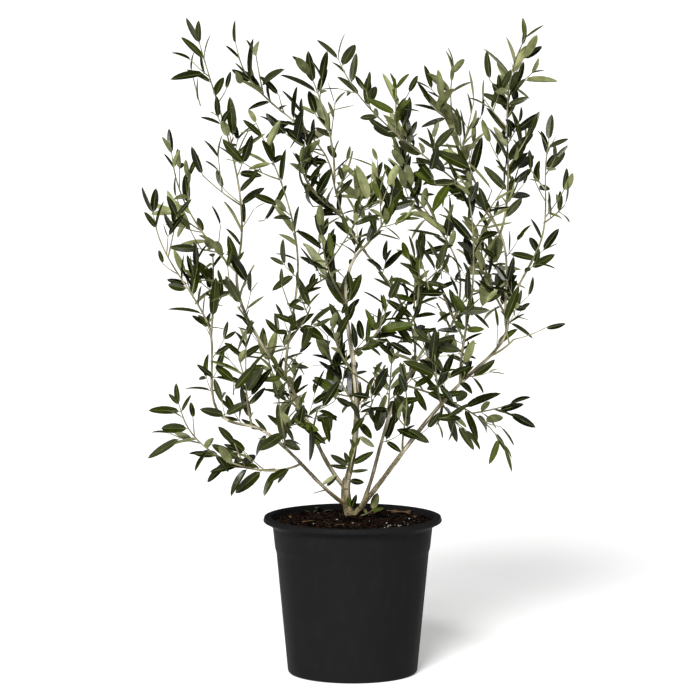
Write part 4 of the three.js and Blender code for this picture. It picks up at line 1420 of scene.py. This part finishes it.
LOW_LEAVES = (
    ((-4.0, -10.0, 283.0), (-14.0, -18.0), 19.0, 0.4, False, "leaves_fresh_green"),
    ((-2.0, -10.0, 281.0), (20.0, -22.0), 27.0, 0.32, False, "leaves_dark_green"),
    ((33.0, -9.0, 277.0), (16.0, -14.0), 33.0, 0.42, True, "leaves_deep_green"),
    ((31.0, -9.0, 276.0), (78.0, -10.0), 22.0, 0.34, False, "leaves_fresh_green"),
    ((24.0, -8.0, 271.0), (-30.0, -20.0), 14.0, 0.36, True, "leaves_deep_green"),
    ((-6.0, -9.0, 352.0), (-58.0, -14.0), 38.0, 0.30, False, "leaves_grey_green"),
    ((-7.0, -9.0, 348.0), (-80.0, -10.0), 32.0, 0.24, False, "leaves_dark_green"),
    ((-5.0, -10.0, 356.0), (-24.0, -24.0), 24.0, 0.36, False, "leaves_mid_green"),
    ((-2.0, -9.0, 355.0), (60.0, -12.0), 44.0, 0.27, False, "leaves_mid_green"),
    ((-4.0, -8.0, 342.0), (84.0, -10.0), 31.0, 0.20, False, "leaves_dark_green"),
    ((-5.0, -9.0, 327.0), (96.0, -16.0), 25.0, 0.44, False, "leaves_deep_green"),
    ((-3.0, -12.0, 364.0), (6.0, -18.0), 22.0, 0.38, False, "leaves_fresh_green"),
    ((4.0, -15.0, 384.0), (24.0, -16.0), 20.0, 0.34, False, "leaves_fresh_green"),
    ((4.0, -15.0, 384.0), (-30.0, -16.0), 18.0, 0.34, False, "leaves_mid_green"),
    ((10.0, -6.0, 402.0), (124.0, -14.0), 34.0, 0.29, True, "leaves_grey_green"),
    ((-1.0, -7.0, 452.0), (-60.0, -14.0), 31.0, 0.36, False, "leaves_dark_green"),
    ((-44.0, -9.0, 317.0), (44.0, -20.0), 27.0, 0.26, False, "leaves_mid_green"),
    ((-52.0, -13.0, 320.0), (52.0, -20.0), 34.0, 0.22, True, "leaves_grey_green"),
    ((-66.0, -10.0, 389.0), (64.0, -16.0), 28.0, 0.32, False, "leaves_fresh_green"),
    ((50.0, -8.0, 455.0), (-168.0, -14.0), 46.0, 0.44, False, "leaves_dark_green"),
    ((57.0, 2.0, 447.0), (-146.0, -18.0), 36.0, 0.44, False, "leaves_dark_green"),
    ((76.0, -4.0, 470.0), (-174.0, -12.0), 48.0, 0.34, False, "leaves_deep_green"),
    ((78.0, -8.0, 471.0), (160.0, -16.0), 40.0, 0.32, False, "leaves_mid_green"),
)
for start, end, leaves, arrives, radii in SPROUTS:
    curve = Bow(np.array(start), np.array(end), heading(leaves), heading(arrives))
    add_wood(curve, 1.0, radii, SPROUT_WOOD["sides"], SPROUT_WOOD["step"])
for root, lean, length, breadth, underside, green in LOW_LEAVES:
    way = heading(lean)
    front = np.array((0.0, 1.0 if underside else -1.0, LOW_LEAF_TILT))
    facing = unit(front - way * float(front @ way))
    shape = leaf_shape(np.array(root), way, facing, length, breadth, LOW_LEAF_ARCH, LOW_LEAF_FOLD)
    heaps[green].append(shape)

# The twigs and leaves as pieces. Thin olive-grey bark on all the twigs, and for each green one mesh of
# leaves, waxy and glossy above, felted below, and paler along the rib.
shoot_bark = bark_finish("shoot_bark", (0.33, 0.305, 0.19), (0.16, 0.145, 0.072), (0.17, 0.19, 0.07), 0.5)
twigs_piece = twig_wood.piece("twigs", [shoot_bark])
foliage_nodes = [stem.name for stem in stems]
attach(twigs_piece, "root")
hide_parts(*foliage_nodes)


def leaf_finish(name, dark, light):
    """The waxy upper side: a plain green with a faint mottle and a soft gloss."""
    finish = Finish(name, 0.24, Specular_IOR_Level=0.17)
    finish.colour(finish.mixed(finish.mask(45.0, 0.35, 0.65, detail=2.0), dark, light))
    finish.roughness(finish.mask(160.0, 0.35, 0.65), 0.18, 0.30)
    finish.bump(finish.mask(700.0, 0.35, 0.65, detail=2.0), 0.12, 0.5)
    return finish.material


def felt_finish(name, dark, light):
    """The underside: a dense felt of pale scales, dull and even."""
    finish = Finish(name, 0.78, Specular_IOR_Level=0.06)
    finish.colour(finish.mixed(finish.mask(60.0, 0.35, 0.65, detail=2.0), dark, light))
    finish.bump(finish.mask(2600.0, 0.35, 0.65, detail=2.0), 0.05, 0.6)
    return finish.material


midrib = felt_finish("midrib", (0.075, 0.092, 0.028), (0.12, 0.14, 0.05))


def leaf_piece(name, shapes, upper, under, rib):
    """All the leaves of one green as one mesh, sharp along the rib and the margins."""
    count = len(shapes)
    vertices = np.array(shapes).reshape(-1, 3)
    faces = [
        tuple(LEAF_POINTS * leaf + corner for corner in face)
        for leaf in range(count)
        for face in LEAF_FACES
    ]
    piece = mesh_piece(name, vertices, faces, [upper, under, rib])
    mesh = piece.data
    mesh.polygons.foreach_set("material_index", LEAF_SIDES * count)
    ends = np.empty(len(mesh.edges) * 2, int)
    mesh.edges.foreach_get("vertices", ends)
    sections = (ends.reshape(-1, 2) % LEAF_POINTS) // CORNERS
    sharp = mesh.attributes.new("sharp_edge", "BOOLEAN", "EDGE")
    sharp.data.foreach_set("value", sections[:, 0] != sections[:, 1])
    return piece


for name, shapes in heaps.items():
    upper = leaf_finish(name, *LEAF_GREENS[name][:2])
    felt = felt_finish(name.replace("leaves", "felt"), *LEAF_GREENS[name][2:])
    piece = leaf_piece(name, shapes, upper, felt, midrib)
    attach(piece, "root")
    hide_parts(*foliage_nodes)

# Litter on the mix. Fallen leaves that dried brown or stayed grey-green, bits of dry stalk, and a small
# spill of perlite near the front. A leaf's row: its place, its heading, its length and whether it is
# still green. A stalk's: its place, its heading and its length.
LITTER_LIFT = 2.5
LITTER_SLOPE = 0.12
FALLEN_SHAPE = {"breadth": 0.34, "arch": 0.16, "fold": 0.5}
FALLEN_LEAVES = (
    (-62.0, 104.0, 80.0, 26.0, True),
    (-50.0, 96.0, 20.0, 22.0, True),
    (-74.0, 92.0, 140.0, 18.0, True),
    (-66.0, 70.0, 60.0, 20.0, True),
    (72.0, 96.0, 100.0, 30.0, False),
    (88.0, 80.0, 30.0, 24.0, False),
    (96.0, 62.0, 150.0, 26.0, False),
    (-104.0, 6.0, 110.0, 20.0, False),
    (36.0, 60.0, 65.0, 18.0, False),
    (-30.0, -70.0, 10.0, 17.0, False),
    (104.0, 8.0, 75.0, 21.0, False),
)
STALKS = (
    (58.0, 100.0, -28.0, 46.0),
    (66.0, 74.0, 12.0, 34.0),
    (-84.0, -28.0, 35.0, 26.0),
    (20.0, 84.0, -60.0, 22.0),
)
STALK_RADII = (0.9, 0.8, 0.7, 0.5)
STALK_POINTS = (0.0, 0.3, 0.6, 1.0)
STALK_BEND = 2.0
SPILL = {"place": (66.0, -78.0), "spread": 23.8, "grains": 20, "sizes": (0.5, 1.35), "seed": 70}
GRAIN_RADII = (0.6, 0.9, 0.5)
LITTER_SIDES = 6


def lying(x, y, turn):
    """A place on the mix and a level heading there."""
    turn = math.radians(turn)
    return np.array((x, y, mix_height(x, y) + LITTER_LIFT)), np.array((math.cos(turn), math.sin(turn), 0.0))


litter = {"dry_litter": [], "green_litter": []}
for x, y, turn, length, green in FALLEN_LEAVES:
    place, way = lying(x, y, turn)
    rising, facing = unit(way + UP * LITTER_SLOPE), unit(UP - way * LITTER_SLOPE)
    shape = leaf_shape(place, rising, facing, length, **FALLEN_SHAPE)
    litter["green_litter" if green else "dry_litter"].append(shape)
dry = felt_finish("dry_leaf", (0.075, 0.042, 0.022), (0.16, 0.095, 0.05))
faded = felt_finish("faded_leaf", (0.045, 0.047, 0.026), (0.10, 0.105, 0.06))
white = felt_finish("perlite_spill", (0.30, 0.29, 0.27), (0.52, 0.51, 0.47))
in_place_of_mix(leaf_piece("dry_litter", litter["dry_litter"], dry, dry, dry))
in_place_of_mix(leaf_piece("green_litter", litter["green_litter"], faded, faded, faded))
stalk_wood = Heap()
for x, y, turn, length in STALKS:
    place, way = lying(x, y, turn)
    points = [
        place + way * length * part + UP * (STALK_BEND * part * (1.0 - part))
        for part in STALK_POINTS
    ]
    stalk_wood.add(*tube(points, STALK_RADII, LITTER_SIDES, UP))
in_place_of_mix(stalk_wood.piece("dry_stalks", [dry]))
grains = Heap()
random = seeded(SPILL["seed"])
for _ in range(SPILL["grains"]):
    x, y = (
        middle + SPILL["spread"] * (random() + random() + random() - 1.5)
        for middle in SPILL["place"]
    )
    place, way = lying(x, y, 360.0 * random())
    size = between(SPILL["sizes"], random() ** 2)
    points = [place - way * size, place, place + way * size]
    grains.add(*tube(points, [part * size for part in GRAIN_RADII], LITTER_SIDES, UP))
in_place_of_mix(grains.piece("perlite_spill", [white]))

# The floor and the light. A plain pale floor that fills the view, an even pale surround that lights
# less than it shows, and two broad soft suns: a strong one from the front and a weak one from behind.
FLOOR_HALF = 150.0
SURROUND_LIGHTS = 0.12
floor_mesh = bpy.data.meshes.new("floor")
floor_signs = ((-1.0, -1.0), (1.0, -1.0), (1.0, 1.0), (-1.0, 1.0))
floor_corners = [(FLOOR_HALF * x, FLOOR_HALF * y, 0.0) for x, y in floor_signs]
floor_mesh.from_pydata(floor_corners, [], [(0, 1, 2, 3)])
floor_finish = Finish(
    "pale_floor", 0.9, Base_Color=(0.97, 0.97, 0.965, 1.0), Specular_IOR_Level=0.1,
    Emission_Color=(1.0, 1.0, 1.0, 1.0), Emission_Strength=0.3,
)
floor_mesh.materials.append(floor_finish.material)
floor = bpy.data.objects.new("floor", floor_mesh)
bpy.context.scene.collection.objects.link(floor)

world = bpy.data.worlds.new("studio")
world.use_nodes = True
surround = world.node_tree.nodes["Background"]
surround.inputs["Color"].default_value = (1.0, 1.0, 1.0, 1.0)
seen = world.node_tree.nodes.new("ShaderNodeLightPath")
brightness = world.node_tree.nodes.new("ShaderNodeMapRange")
brightness.inputs["To Min"].default_value = SURROUND_LIGHTS
brightness.inputs["To Max"].default_value = 1.0
world.node_tree.links.new(seen.outputs["Is Camera Ray"], brightness.inputs["Value"])
world.node_tree.links.new(brightness.outputs["Result"], surround.inputs["Strength"])
bpy.context.scene.world = world


def soft_sun(name, place, strength, breadth):
    """A distant broad lamp that shines from a place towards the pot, its breadth in degrees."""
    lamp_data = bpy.data.lights.new(name, "SUN")
    lamp_data.energy = strength
    lamp_data.angle = math.radians(breadth)
    lamp = bpy.data.objects.new(name, lamp_data)
    lamp.rotation_euler = (-Vector(place)).to_track_quat("-Z", "Y").to_euler()
    bpy.context.scene.collection.objects.link(lamp)


soft_sun("key", (-0.7, -2.8, 1.8), 4.6, 22.0)
soft_sun("fill", (2.2, 1.2, 2.2), 0.4, 70.0)
